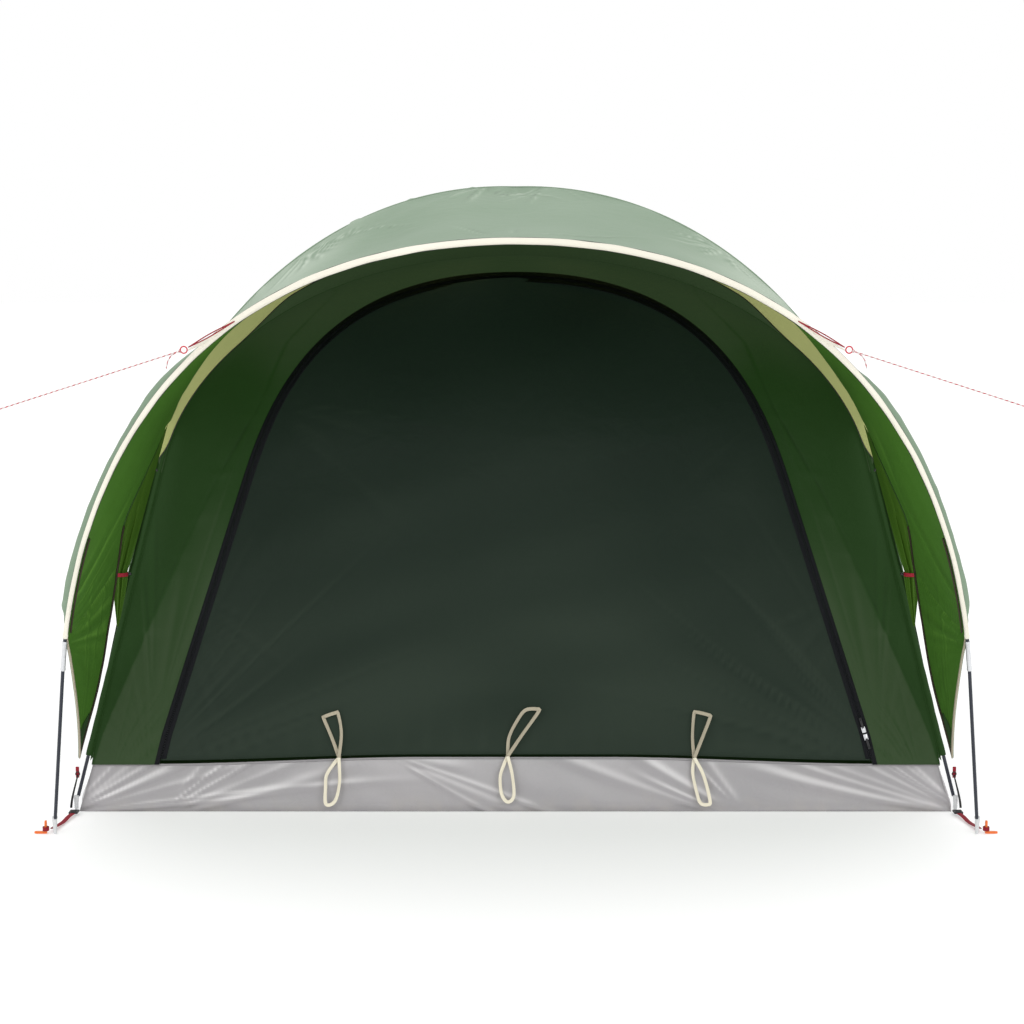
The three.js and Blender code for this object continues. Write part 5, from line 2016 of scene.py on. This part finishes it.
@dataclass
class Groundsheet(SubAssembly):
    """The tub: a floor with an upstand, one sheet folded up at its corners."""

    foot: float = 1.180
    height: float = 0.140
    thickness: float = 0.0012

    def build(self) -> None:
        """Makes the tub and the seam tape along its top edge."""
        columns = 240
        sides = []
        places = np.linspace(-1, 1, columns)[:-1]
        for normal, along in (((0, -1), (1, 0)), ((1, 0), (0, 1)), ((0, 1), (-1, 0)), ((-1, 0), (0, -1))):
            sides.append([(normal, along, place) for place in places])
        ring = [entry for side in sides for entry in side]
        levels = np.concatenate([np.linspace(1, 0.02, 28), [0.0]])
        rows = [self.wall_row(ring, level) for level in levels]
        for shrink in (0.985, 0.93, 0.80, 0.60, 0.40, 0.20, 0.0):
            rows.append(self.floor_row(ring, shrink))
        grid = np.array([np.vstack([row, row[:1]]) for row in rows])
        painted_shading = np.full(grid.shape[:2], 0.5)
        smooth_rows = len(levels)
        # Painted shade in the hollows and painted light on the crests, painted lit and shaded sides beside
        # the creases, and painted shade in the lowest 3 cm.
        painted_shading[:smooth_rows] = 0.57 + self.wrinkles(grid[:smooth_rows]) * 20
        painted_shading[:smooth_rows] += 0.34 * self.shading(ring, levels)
        painted_shading[:smooth_rows] -= 0.26 * (1 - smooth(grid[:smooth_rows, :, 2], 0.0, 0.030))
        piece = make_sheet("groundsheet", grid, self.thickness, [self.material(Finish.TUB)], (0, 0, 0.6),
            painted_shading)
        self.dress(piece, "tub_cloth", "groundsheet_tub")
        edge = np.array([self.top_point(entry) for entry in [*ring, ring[0]]])
        outward = np.array([[entry[0][0], entry[0][1], 0.2] for entry in [*ring, ring[0]]])
        tape = np.array([edge + outward * 0.0012 + np.array([0, 0, dz]) for dz in (0.0030, 0.0, -0.0035)])
        binding = make_sheet("tub_binding", tape, 0.0010, [self.material(Finish.TUB)], (0, 0, 0.1),
                             np.full(tape.shape[:2], 0.30))
        self.dress(binding, "tub_cloth")
        declare_sheet(tape)

    def at(self, entry: tuple, level: float) -> tuple[Grid, Grid]:
        """Point and outward direction on the tub's wall at a share of its height."""
        (nx, ny), (ax, ay), place = entry
        half = self.foot - level * self.height * math.tan(math.radians(LEG_LEAN))
        x, y = nx * half + ax * place * half, (ny * half + ay * place * half) * DEPTH_RATIO
        return np.array([x, y, level * self.height]), np.array([nx, ny, 0.2])

    def wall_row(self, ring: list, level: float) -> Grid:
        """One row of the wall, wrinkled, at a share of its height."""
        row = []
        for entry in ring:
            point, outward = self.at(entry, level)
            across = entry[2]
            drop = self.edge_drop(across) * level
            fold = float(self.fold(across, level, entry[0]))
            gather = max(0.0, 1 - abs(abs(across) - 1) / 0.02) * 0.004
            row.append(point + outward * (fold - gather) - np.array([0, 0, drop]))
        return np.array(row)

    def floor_row(self, ring: list, shrink: float) -> Grid:
        """One row of the floor, drawn in towards the middle."""
        base = self.wall_row(ring, 0.0)
        row = base * np.array([shrink, shrink, 0]) + np.array([0, 0, 0.0012])
        return row

    def shading(self, ring: list, levels: Grid) -> Grid:
        """How lit the wall is beside its creases, for its painted light and shade."""
        across = np.array([entry[2] for entry in [*ring, ring[0]]]) * 1.15
        seeds = np.array([70 + 3 * entry[0][0] + 7 * entry[0][1] for entry in [*ring, ring[0]]])
        x, z = np.broadcast_arrays(across[None, :], levels[:, None] * self.height)
        light = np.zeros(x.shape)
        for seed in np.unique(seeds):
            for creases in self.creases(int(seed)):
                turned_light = creases.relief(x, z)[1] * (1 if creases.angles[1] < 90 else -1)
                light += np.where(seeds[None, :] == seed, turned_light, 0)
        return light

    @staticmethod
    def creases(seed: int) -> list[Creases]:
        """The fans of creases on one side of the tub, from its corners and from between them."""
        return [
            Creases((-1.19, -0.012), (3, 55), (0.45, 1.55), 9, 0.014, 0.0045, 0.04, seed),
            Creases((1.19, -0.012), (125, 177), (0.45, 1.55), 9, 0.014, 0.0045, 0.04, seed + 1),
            Creases((-0.95, -0.020), (10, 65), (0.20, 0.80), 5, 0.012, 0.0030, 0.06, seed + 20),
            Creases((0.62, -0.030), (120, 170), (0.30, 0.90), 5, 0.012, 0.0030, 0.06, seed + 21),
            Creases((-0.35, 0.150), (-34, -6), (0.25, 0.80), 4, 0.012, 0.0028, 0.05, seed + 22),
        ]

    @staticmethod
    def edge_drop(across: Grid | float) -> Grid | float:
        """How far the top edge sags near the corners."""
        return sill_drop(across * 1.147)

    def fold(self, across: Grid | float, level: Grid | float, normal: tuple[int, int]) -> Grid:
        """Creases that spread from the lower corners, and dents between."""
        seed = 70 + 3 * normal[0] + 7 * normal[1]
        x, z = np.asarray(across, float) * 1.15, np.asarray(level, float) * self.height
        creases = sum(fan.relief(x, z)[0] for fan in self.creases(seed))
        dents = wander(x + z * 1.5, z, 0.16, 0.0010, seed + 2, 1.2)
        calm = smooth(1 - level, 0.0, 0.12) * smooth(level, 0.0, 0.10)
        return (creases + dents) * calm * smooth(1 - np.abs(across), 0, 0.015)

    def wrinkles(self, grid: Grid) -> Grid:
        """A measure of how far each point of the wall stands out, for its painted shade in the hollows and
        painted light on the crests.
        """
        flat_x = np.maximum(np.abs(grid[..., 0]) - self.foot, np.abs(grid[..., 1]) - DEPTH_RATIO * self.foot)
        lean = flat_x + grid[..., 2] * math.tan(math.radians(LEG_LEAN))
        return lean - lean.mean()

    def top_point(self, entry: tuple) -> Grid:
        """A point of the tub's top edge."""
        point, _ = self.at(entry, 1.0)
        return point - np.array([0, 0, self.edge_drop(entry[2])])


@dataclass(frozen=True)
class TieShape:
    """Where one tie is knotted, and the outlines of its two loops as offsets from the knot."""

    place: float
    upper: tuple[tuple[float, float], ...]
    lower: tuple[tuple[float, float], ...]


@dataclass
class Ties(SubAssembly):
    """Three ribbons knotted in the sill seam, which hold the door when it is rolled down."""

    width: float = 0.0095
    lift: float = 0.0050
    left: TieShape = TieShape(
        -0.478,
        ((-0.020, 0.050), (-0.041, 0.098), (-0.040, 0.104), (-0.010, 0.114), (-0.003, 0.112),
            (0.006, 0.060)),
        ((-0.016, -0.018), (-0.033, -0.045), (-0.035, -0.075), (-0.034, -0.120), (-0.010, -0.113),
            (0.002, -0.064)),
    )
    centre: TieShape = TieShape(
        -0.022,
        ((0.004, 0.050), (0.030, 0.100), (0.050, 0.122), (0.080, 0.124), (0.083, 0.117), (0.040, 0.058)),
        ((-0.010, -0.022), (-0.020, -0.055), (-0.016, -0.100), (0.000, -0.120), (0.016, -0.104),
            (0.012, -0.050)),
    )
    right: TieShape = TieShape(
        0.482,
        ((-0.004, 0.050), (0.000, 0.110), (0.006, 0.116), (0.040, 0.108), (0.043, 0.102), (0.022, 0.050)),
        ((-0.004, -0.040), (0.006, -0.090), (0.016, -0.118), (0.036, -0.121), (0.041, -0.110),
            (0.024, -0.045)),
    )

    def build(self) -> None:
        """Makes the three ties."""
        for name, shape in (("left", self.left), ("centre", self.centre), ("right", self.right)):
            self.tie(name, shape)

    def tie(self, name: str, shape: TieShape) -> None:
        """One tie: a loop standing up from the knot, a loop hanging down and the knot itself.

        Args:
            name: left, centre or right.
            shape: its place and outlines.
        """
        x = shape.place
        # Painted light: the lower loop of the same ribbon is drawn lighter than the upper one.
        for label, outline, painted_shading in (("upper", shape.upper, 0.5), ("lower", shape.lower, 0.88)):
            path = self.loop(x, outline)
            turn = 0.6 * np.sin(np.linspace(0, 2 * math.pi, len(path)))
            facing = np.stack([turn, -np.ones(len(path)), np.full(len(path), FRONT_SLOPE)], axis=1)
            grid = ribbon_grid(path, self.width, facing)
            piece = make_sheet(f"tie_{name}_{label}", grid, 0.0009, [self.material(Finish.BEIGE)],
                (x, 0.5, 0.1),
                               np.full(grid.shape[:2], painted_shading))
            self.dress(piece, "ribbon", *([f"door_tie_{name}"] if label == "upper" else []), body="")
            declare_sheet(grid)
            self.bend_at_sill(piece)
        knot = smooth_path([on_front(x + dx, HINGE_HEIGHT + dz, self.lift + dl) for dx, dz, dl in (
            (-0.003, 0.005, 0.0), (0.003, 0.001, 0.002), (-0.003, -0.002, 0.002), (0.003, -0.006, 0.0))], 30)
        piece = make_tube(f"tie_{name}_knot", knot, 0.0032, 8, self.material(Finish.BEIGE), 0.6)
        self.dress(piece, "ribbon", body="")
        self.bend_at_sill(piece)

    def loop(self, x: float, outline: Sequence[tuple[float, float]]) -> Grid:
        """The path of a loop that starts and ends at the knot.

        Args:
            x: the knot's place across.
            outline: places round the loop, as offsets from the knot.

        Returns:
            Points along the ribbon.
        """
        places = [(0.0, 0.0), *outline, (0.0, 0.0)]
        points = [on_front(x + across, HINGE_HEIGHT + up, self.lift + 0.0045 * math.sin(math.pi * order / 7)
                           + 0.0011 * order)
                  for order, (across, up) in enumerate(places)]
        return smooth_path(points, 90)

    def bend_at_sill(self, piece: bpy.types.Object) -> None:
        """Moves a tie's placement into its mesh; it does not bend it."""
        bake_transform(piece)


# ---- Side doors, corners and guylines ----------------------------------------------------------


@dataclass
class SideDoors(SubAssembly):
    """Each wing's door, gathered back beside the ridge and held by a strap with a toggle."""

    fly: Flysheet = field(default=None)
    bottom: float = 0.470
    top: float = 0.900
    tied: tuple[float, float, float] = (1.060, -0.984, 0.650)
    tip: tuple[float, float, float] = (1.0725, -0.980, 0.500)
    half_width: float = 0.0215
    pleats: int = 3

    def build(self) -> None:
        """Makes the flap, strap and toggles of each side."""
        for name, side in SIDES.items():
            self.flap(name, side)
            self.strap(name, side)
            self.toggles(name, side)

    def middle(self, height: Grid | float, side: int) -> Grid:
        """The middle of the gathered cloth at a height."""
        point = ridge(FLY_ARCH, np.array([FLY_ARCH.share_at_height(h) for h in np.atleast_1d(height)]),
            side, -1)
        inwards = 0.026 * (np.atleast_1d(height) - self.bottom) / (self.top - self.bottom)
        point[:, 0] -= side * (0.002 + inwards)
        point[:, 1] -= 0.042
        return point

    def flap(self, name: str, side: int) -> None:
        """The flap: pleated from the wing down to the strap, tapered below it.

        Args:
            name: left or right.
            side: -1 for left, 1 for right.
        """
        columns, split = 121, 0.62
        q = np.linspace(0, 1, columns)
        rise = self.fly.door_foot + (self.fly.door_head - self.fly.door_foot) * q
        edge = self.fly.porch_point(rise, self.fly.door_line(rise) - 0.02, np.full(columns, float(side)))
        edge[:, 0] -= side * 0.006
        tied = np.array([side * self.tied[0], *self.tied[1:]])
        tip = np.array([side * self.tip[0], *self.tip[1:]])
        pleat = np.sin(2 * math.pi * self.pleats * q + 0.9 * np.sin(2 * math.pi * 1.3 * q + 1))
        round_off = np.sqrt(np.maximum(1 - (2 * q - 1) ** 2, 0.02))
        grid = []
        for t in np.linspace(0, 1, 90):
            upper, lower = min(t / split, 1.0), max((t - split) / (1 - split), 0.0)
            width = self.half_width * (1 - 0.90 * lower**1.4) * (1 - 0.14
                * math.exp(-(((t - split) / 0.035) ** 2)))
            centre = tied + (tip - tied) * lower
            deep = 0.0075 * (1 - 0.6 * lower) * pleat * round_off
            bundle = np.stack([centre[0] - side * (2 * q - 1) * width, centre[1] - deep - 0.008 * round_off,
                               np.full(columns, centre[2])], axis=1)
            drape = 0.006 * math.sin(math.pi * upper) * pleat
            straight = edge * (1 - upper) + bundle * upper
            straight[:, 1] -= drape
            straight[:, 0] += side * 0.006 * math.sin(math.pi * upper) * (1 - q)
            grid.append(straight)
        grid = np.array(grid)
        # Painted shade in the pleats' hollows and painted light on their crests.
        painted_shading = 0.52 + 0.10 * pleat[None, :] * np.ones((90, 1))
        piece = make_sheet(f"side_door_flap_{name}", grid, 0.0009, [self.material(Finish.FLAP)],
            (0, 0.5, 0.6), painted_shading)
        self.dress(piece, "fly_cloth", f"side_door_roll_{name}")
        declare_sheet(grid)

    def strap(self, name: str, side: int) -> None:
        """The red strap round the gathered cloth."""
        low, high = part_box(f"side_door_strap_{name}")
        centre = (low + high) / 2
        turns = np.linspace(0, 2 * math.pi, 49)
        path = np.stack([side * self.tied[0] + 0.0205 * np.cos(turns),
            self.tied[1] - 0.006 + 0.0165 * np.sin(turns),
                         np.full(49, centre.z)], axis=1)
        outward = np.stack([np.cos(turns), np.sin(turns), np.zeros(49)], axis=1)
        grid = ribbon_grid(path, 0.0105, outward)
        piece = make_sheet(f"flap_strap_{name}", grid, 0.0012, [self.material(Finish.CRIMSON)],
            tuple(centre))
        self.dress(piece, "red_webbing", f"side_door_strap_{name}")
        declare_sheet(grid)

    def toggles(self, name: str, side: int) -> None:
        """The strap's toggle, which turns in its loop, and two small ones higher up."""
        low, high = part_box(f"side_door_toggle_{name}")
        middle = (low + high) / 2
        profile = [(0.0016, -0.0136), (0.0034, -0.0126), (0.0036, -0.0060), (0.0026, -0.0030),
            (0.0026, 0.0030),
                   (0.0036, 0.0060), (0.0034, 0.0126), (0.0016, 0.0136)]
        toggle = turned(f"strap_toggle_{name}", profile, self.material(Finish.BLACK),
                        frame_at(middle, (1, 0, 0), (0, 0, 1)), 18, 0.0005)
        self.dress(toggle, "black_plastic", f"side_door_toggle_{name}", body=f"toggle_{name}")
        small = []
        for height, out in ((0.905, 0.012), (0.878, 0.026)):
            place = self.middle(height, side)[0] + np.array([side * out, 0.004, 0.012])
            short = [(radius * 0.7, along * 0.62) for radius, along in profile]
            small.append(turned("small_toggle", short, self.material(Finish.BLACK),
                                frame_at(place, (side * 0.5, -0.2, 0.9)), 14, 0.0003))
        self.dress(join(f"small_toggles_{name}", small), "black_plastic")


@dataclass
class CornerHardware(SubAssembly):
    """What holds each corner down: buckle, webbing, wing hook and elastic, and angle pegs."""

    webbing: float = 0.0125

    def build(self) -> None:
        """Makes the hardware of all four corners."""
        for name, (side_x, side_y) in CORNERS.items():
            self.strap(name, side_x, side_y)
            self.peg(name, side_x)
        for name, side in SIDES.items():
            self.buckle(name, side)
            self.hook(name, side)

    def strap(self, name: str, side_x: int, side_y: int) -> None:
        """The webbing from a pole's foot out to its peg, with a loop at its end."""
        low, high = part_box(f"corner_strap_{name}")
        near_x, far_x = (low.x, high.x) if side_x > 0 else (high.x, low.x)
        near_y, far_y = (high.y, low.y) if side_y < 0 else (low.y, high.y)
        start = np.array([near_x + side_x * 0.006, near_y, 0.0085])
        end = np.array([far_x - side_x * 0.006, far_y, 0.0085])
        way = end - start
        middle = start + way * 0.5 + np.array([0.0, 0.0, -0.0035])
        path = smooth_path([start, start + way * 0.22, middle, end - way * 0.12, end], 60)
        grid = ribbon_grid(path, self.webbing, (0, 0, 1))
        piece = make_sheet(f"webbing_{name}", grid, 0.0016, [self.material(Finish.CRIMSON)], (0, 0, -1.0))
        self.dress(piece, "red_webbing", f"corner_strap_{name}")
        declare_sheet(grid)
        peg_low, peg_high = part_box(f"peg_{name}")
        pin_x = (peg_low.x + 0.0025) if side_x > 0 else (peg_high.x - 0.0025)
        pin_y = (peg_low.y + peg_high.y) / 2
        turns = np.linspace(0, 2 * math.pi, 33)
        ring = np.stack([pin_x + 0.0085 * np.cos(turns), pin_y + 0.0085 * np.sin(turns),
            np.full(33, 0.0125)], axis=1)
        outward = np.stack([np.cos(turns), np.sin(turns), np.zeros(33)], axis=1)
        loop_grid = ribbon_grid(ring, 0.010, outward)
        loop = make_sheet(f"peg_loop_{name}", loop_grid, 0.0014, [self.material(Finish.CRIMSON)],
                          (pin_x, pin_y, 0.0125))
        self.dress(loop, "red_webbing")
        declare_sheet(loop_grid)

    def peg(self, name: str, side: int) -> None:
        """An angle peg: an L of ribbed plastic with one arm on the ground and one in the loop."""
        low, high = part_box(f"peg_{name}")
        inner = low.x if side > 0 else high.x
        arm, tall, thick = high.x - low.x, high.z - low.z, 0.0052
        deselect_all()
        bpy.ops.mesh.primitive_cube_add(size=1, location=(0, 0, 0))
        peg = bpy.context.object
        bpy.ops.object.mode_set(mode="EDIT")
        bpy.ops.transform.resize(value=(thick, high.y - low.y, thick), center_override=(0, 0, 0))
        bpy.ops.transform.translate(value=(thick / 2, 0, thick / 2))
        bpy.ops.object.mode_set(mode="OBJECT")
        for axis, reach in ((0, arm - thick), (2, tall - thick)):
            make_active(peg)
            select_faces(peg, lambda face, axis=axis: face.normal[axis] > 0.9
                         and all(abs(face.center[other]) < thick for other in (0, 2) if other != axis)
                         and face.center[axis] < thick * 1.1)
            for part, scale in ((0.75, 1.0), (0.25, 0.62)):
                step = [0.0, 0.0, 0.0]
                step[axis] = reach * part
                bpy.ops.mesh.extrude_region_move(TRANSFORM_OT_translate={"value": step})
                size = [1.0, 1.0, 1.0]
                size[1] = scale
                bpy.ops.transform.resize(value=size, center_override=(0, 0, 0))
            bpy.ops.object.mode_set(mode="OBJECT")
        select_faces(peg, lambda face: abs(face.normal.y) > 0.9)
        bpy.ops.mesh.inset(thickness=0.0012, use_boundary=True)
        bpy.ops.mesh.extrude_region_shrink_fatten(TRANSFORM_OT_shrink_fatten={"value": -0.0011})
        bpy.ops.object.mode_set(mode="OBJECT")
        peg.name = f"angle_peg_{name}"
        placement = Matrix.Translation((inner, (low.y + high.y) / 2, low.z)) @ Matrix.Diagonal(
            (side, 1, 1, 1))
        finished = finish_rigid(peg, self.material(Finish.ORANGE), placement, 0.0005)
        if side < 0:
            finished.data.flip_normals()
        self.dress(finished, "orange_plastic", f"peg_{name}", body=f"peg_{name}")

    def buckle(self, name: str, side: int) -> None:
        """The ladder buckle between the pole's foot and the webbing."""
        low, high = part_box(f"corner_buckle_{name}")
        middle = (low + high) / 2
        plate = slotted_plate(f"ladder_buckle_{name}", (high.x - low.x, high.y - low.y, 0.0052), (6, 9),
                              [(x, y) for x in range(1, 5) for y in (1, 2, 4, 6, 7)],
                                  self.material(Finish.BLACK),
                              Matrix.Translation(middle), 0.0009)
        self.dress(plate, "black_plastic", f"corner_buckle_{name}")

    def hook(self, name: str, side: int) -> None:
        """The elastic that holds a wing's tip, with a hook and a crimson tab at its top."""
        low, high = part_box(f"wing_hook_{name}")
        foot = np.array([high.x - 0.003 if side > 0 else low.x + 0.003, low.y + 0.002, low.z + 0.001])
        head = np.array([low.x + 0.003 if side > 0 else high.x - 0.003, high.y - 0.002, high.z])
        path = smooth_path([foot, foot + (head - foot) * 0.35 + np.array([side * 0.002, 0, 0]), head], 40)
        width = np.linspace(0.0062, 0.0034, 40)
        grid = ribbon_grid(path, width, (0, -1, 0))
        elastic = make_sheet(f"elastic_{name}", grid, 0.0016, [self.material(Finish.ELASTIC)], (0, 1, 0))
        self.dress(elastic, "black_plastic", f"wing_hook_{name}")
        declare_sheet(grid)
        hook = bent_wire(f"elastic_hook_{name}", 0.0055, 0.0013, 285, self.material(Finish.BLACK),
                         frame_at(head + np.array([0, -0.001, 0.003]), (0, -1, 0)))
        self.dress(hook, "black_plastic")
        tab_path = np.array([head + np.array([side * 0.001, 0.001, z])
            for z in np.linspace(-0.008, 0.022, 12)])
        tab_grid = ribbon_grid(tab_path, 0.009, (0, -1, 0))
        tab = make_sheet(f"wing_tab_{name}", tab_grid, 0.0014, [self.material(Finish.CRIMSON)], (0, 1, 0))
        self.dress(tab, "red_webbing")
        declare_sheet(tab_grid)


@dataclass
class Guylines(SubAssembly):
    """The two guylines at the shoulders: loop, ring, knot and a taut cord to a knot at its end."""

    shoulder: float = 1.335
    ring: tuple[float, float, float] = (0.782, -1.548, 1.268)
    end: tuple[float, float, float] = (1.252, -1.548, 1.118)
    diameter: float = 0.003

    def build(self) -> None:
        """Makes both guylines."""
        for name, side in SIDES.items():
            self.guyline(name, side)

    def guyline(self, name: str, side: int) -> None:
        """One guyline.

        Args:
            name: left or right.
            side: -1 for left, 1 for right.
        """
        turn = np.array([side, 1, 1])
        ring, end = np.array(self.ring) * turn, np.array(self.end) * turn
        out = (end - ring) / np.linalg.norm(end - ring)
        start, stop = ring + out * 0.011, end - out * 0.008
        anchor = brow(BROW_ARCH.share_at_height(self.shoulder), side) + np.array([0, -0.013, 0])
        eye = bent_wire(f"guy_ring_{name}", 0.008, 0.0016, 360, self.material(Finish.TAPE_RED),
                        frame_at(ring, (0, -1, 0)), 28)
        self.dress(eye, "guy_cord", f"guyline_ring_{name}")
        knot = self.knot(f"guy_end_{name}", end, out, 0.0046)
        self.dress(knot, "guy_cord", f"guyline_end_{name}")
        adjuster = self.knot(f"guy_knot_{name}", ring + out * 0.010, out, 0.0032)
        self.dress(adjuster, "guy_cord")
        path = start + (stop - start) * np.linspace(0, 1, 60)[:, None]
        cord = make_tube(f"guy_cord_{name}", path, self.diameter / 2, 10, self.material(Finish.GUY))
        self.dress(cord, "guy_cord", f"guyline_{name}")
        self.tail(name, side, ring + out * 0.012)
        self.loop_and_tab(name, side, anchor, ring)

    def knot(self, name: str, place: Grid, along: Grid, size: float) -> bpy.types.Object:
        """A small overhand knot: the cord wound round itself."""
        turns = np.linspace(0, 2 * math.pi, 70)
        x = np.sin(turns) + 2 * np.sin(2 * turns)
        y = np.cos(turns) - 2 * np.cos(2 * turns)
        z = -np.sin(3 * turns)
        frame_of = frame_at(place, along)
        path = np.array([frame_of @ Vector((a * size / 3.4, b * size / 3.4, c * size / 2)) for a, b,
            c in zip(x, y, z)])
        return make_tube(name, path, self.diameter * 0.55, 8, self.material(Finish.GUY))

    def tail(self, name: str, side: int, start: Grid) -> None:
        """The short end of the cord that hangs from the adjusting knot."""
        steps = ((0.0, 0.0), (0.012, -0.006), (0.021, -0.014), (0.027, -0.026), (0.030, -0.040))
        path = smooth_path([start + np.array([side * dx, -0.003, dz]) for dx, dz in steps], 40)
        tail = make_tube(f"guy_tail_{name}", path, self.diameter / 2, 8, self.material(Finish.GUY))
        self.dress(tail, "guy_cord")

    def loop_and_tab(self, name: str, side: int, anchor: Grid, ring: Grid) -> None:
        """The dark red cord loop from the brow to the ring, and the cream tab behind it."""
        strands = []
        for spread in (-1, 1):
            middle = (anchor + ring) / 2 + np.array([0, 0, spread * 0.0032])
            path = smooth_path([anchor, middle, ring + (anchor - ring) * 0.09], 24)
            strands.append(make_tube("strand", path, 0.0015, 8, self.material(Finish.DARK_GUY)))
        self.dress(join(f"guy_loop_{name}", strands), "red_webbing", f"guyline_loop_{name}")
        low = brow(BROW_ARCH.share_at_height(self.shoulder - 0.050), side) + np.array([0, -0.004, 0])
        high = brow(BROW_ARCH.share_at_height(self.shoulder - 0.004), side) + np.array([0, -0.004, 0])
        point = ring + (anchor - ring) * 0.05 + np.array([-side * 0.004, 0.004, -0.004])
        share = np.linspace(0, 1, 14)[:, None, None]
        base = low + (high - low) * np.linspace(0, 1, 9)[:, None]
        grid = base[None] * (1 - share) + (point + (base - (low + high) / 2) * 0.16)[None] * share
        tab = make_sheet(f"guy_tab_{name}", grid, 0.0012, [self.material(Finish.CREAM)], (0, 0.5, 1.0))
        self.dress(tab, "cream_cloth")
        declare_sheet(grid)


# ---- Studio ------------------------------------------------------------------------------------


@dataclass
class Studio:
    """Pale floor, soft light and the camera."""

    camera_place: tuple[float, float, float] = (-0.0105, -6.078, 1.480)
    camera_down: float = 7.5
    lens: float = 67.6

    def build(self) -> None:
        """Makes the floor, the light and the camera."""
        self.floor()
        self.light()
        self.camera()

    def floor(self) -> None:
        """A wide pale floor just under the tent."""
        deselect_all()
        bpy.ops.mesh.primitive_circle_add(vertices=96, radius=60, fill_type="NGON", location=(0, 0, -0.001))
        floor = bpy.context.object
        floor.name = "floor"
        material, _, shader = start_material("studio_floor")
        shader.inputs["Base Color"].default_value = (0.80, 0.80, 0.80, 1)
        shader.inputs["Emission Color"].default_value = (1, 1, 1, 1)
        shader.inputs["Emission Strength"].default_value = 0.30
        shader.inputs["Roughness"].default_value = 0.9
        shader.inputs["Specular IOR Level"].default_value = 0.1
        add_finish(floor, material)
        settle(floor)

    def light(self) -> None:
        """An even white sky with two large soft lamps in front and one above."""
        world = bpy.data.worlds.new("studio")
        bpy.context.scene.world = world
        world.use_nodes = True
        world.node_tree.nodes["Background"].inputs["Color"].default_value = (1, 1, 1, 1)
        world.node_tree.nodes["Background"].inputs["Strength"].default_value = 1.0
        for name, place, size, power in (("front_left", (-3.6, -5.2, 3.6), 2.6, 60),
                                         ("front_right", (3.8, -5.0, 3.4), 2.6, 54),
                                         ("above", (0.0, 0.4, 5.2), 4.0, 40)):
            lamp = bpy.data.lights.new(name, "AREA")
            lamp.size = size
            lamp.energy = power
            light = bpy.data.objects.new(name, lamp)
            bpy.context.collection.objects.link(light)
            light.location = place
            light.rotation_euler = (Vector((0, -0.4, 0.7)) - Vector(place)).to_track_quat("-Z",
                "Y").to_euler()

    def camera(self) -> None:
        """The camera, level with the brow and looking slightly down."""
        data = bpy.data.cameras.new("camera")
        data.lens = self.lens
        data.sensor_width = 36
        camera = bpy.data.objects.new("camera", data)
        bpy.context.collection.objects.link(camera)
        camera.location = self.camera_place
        camera.rotation_euler = (math.radians(90 - self.camera_down), 0, 0)
        bpy.context.scene.camera = camera
        bpy.context.scene.view_settings.view_transform = "Standard"


def main() -> None:
    """Builds the studio and then every sub-assembly of the tent."""
    logging.basicConfig(level=logging.INFO, format="%(message)s")
    Studio().build()
    wardrobe = Wardrobe()
    fly = Flysheet(wardrobe)
    for assembly in (Guylines(wardrobe), fly, RidgeBands(wardrobe), BrowPole(wardrobe),
        CrossingPoles(wardrobe),
                     InnerTent(wardrobe), InnerDoor(wardrobe), DoorZip(wardrobe), Groundsheet(wardrobe),
                     Ties(wardrobe), SideDoors(wardrobe, fly), CornerHardware(wardrobe)):
        LOG.info("-- %s", type(assembly).__name__)
        assembly.build()
    deselect_all()


if __name__ == "__main__":
    main()
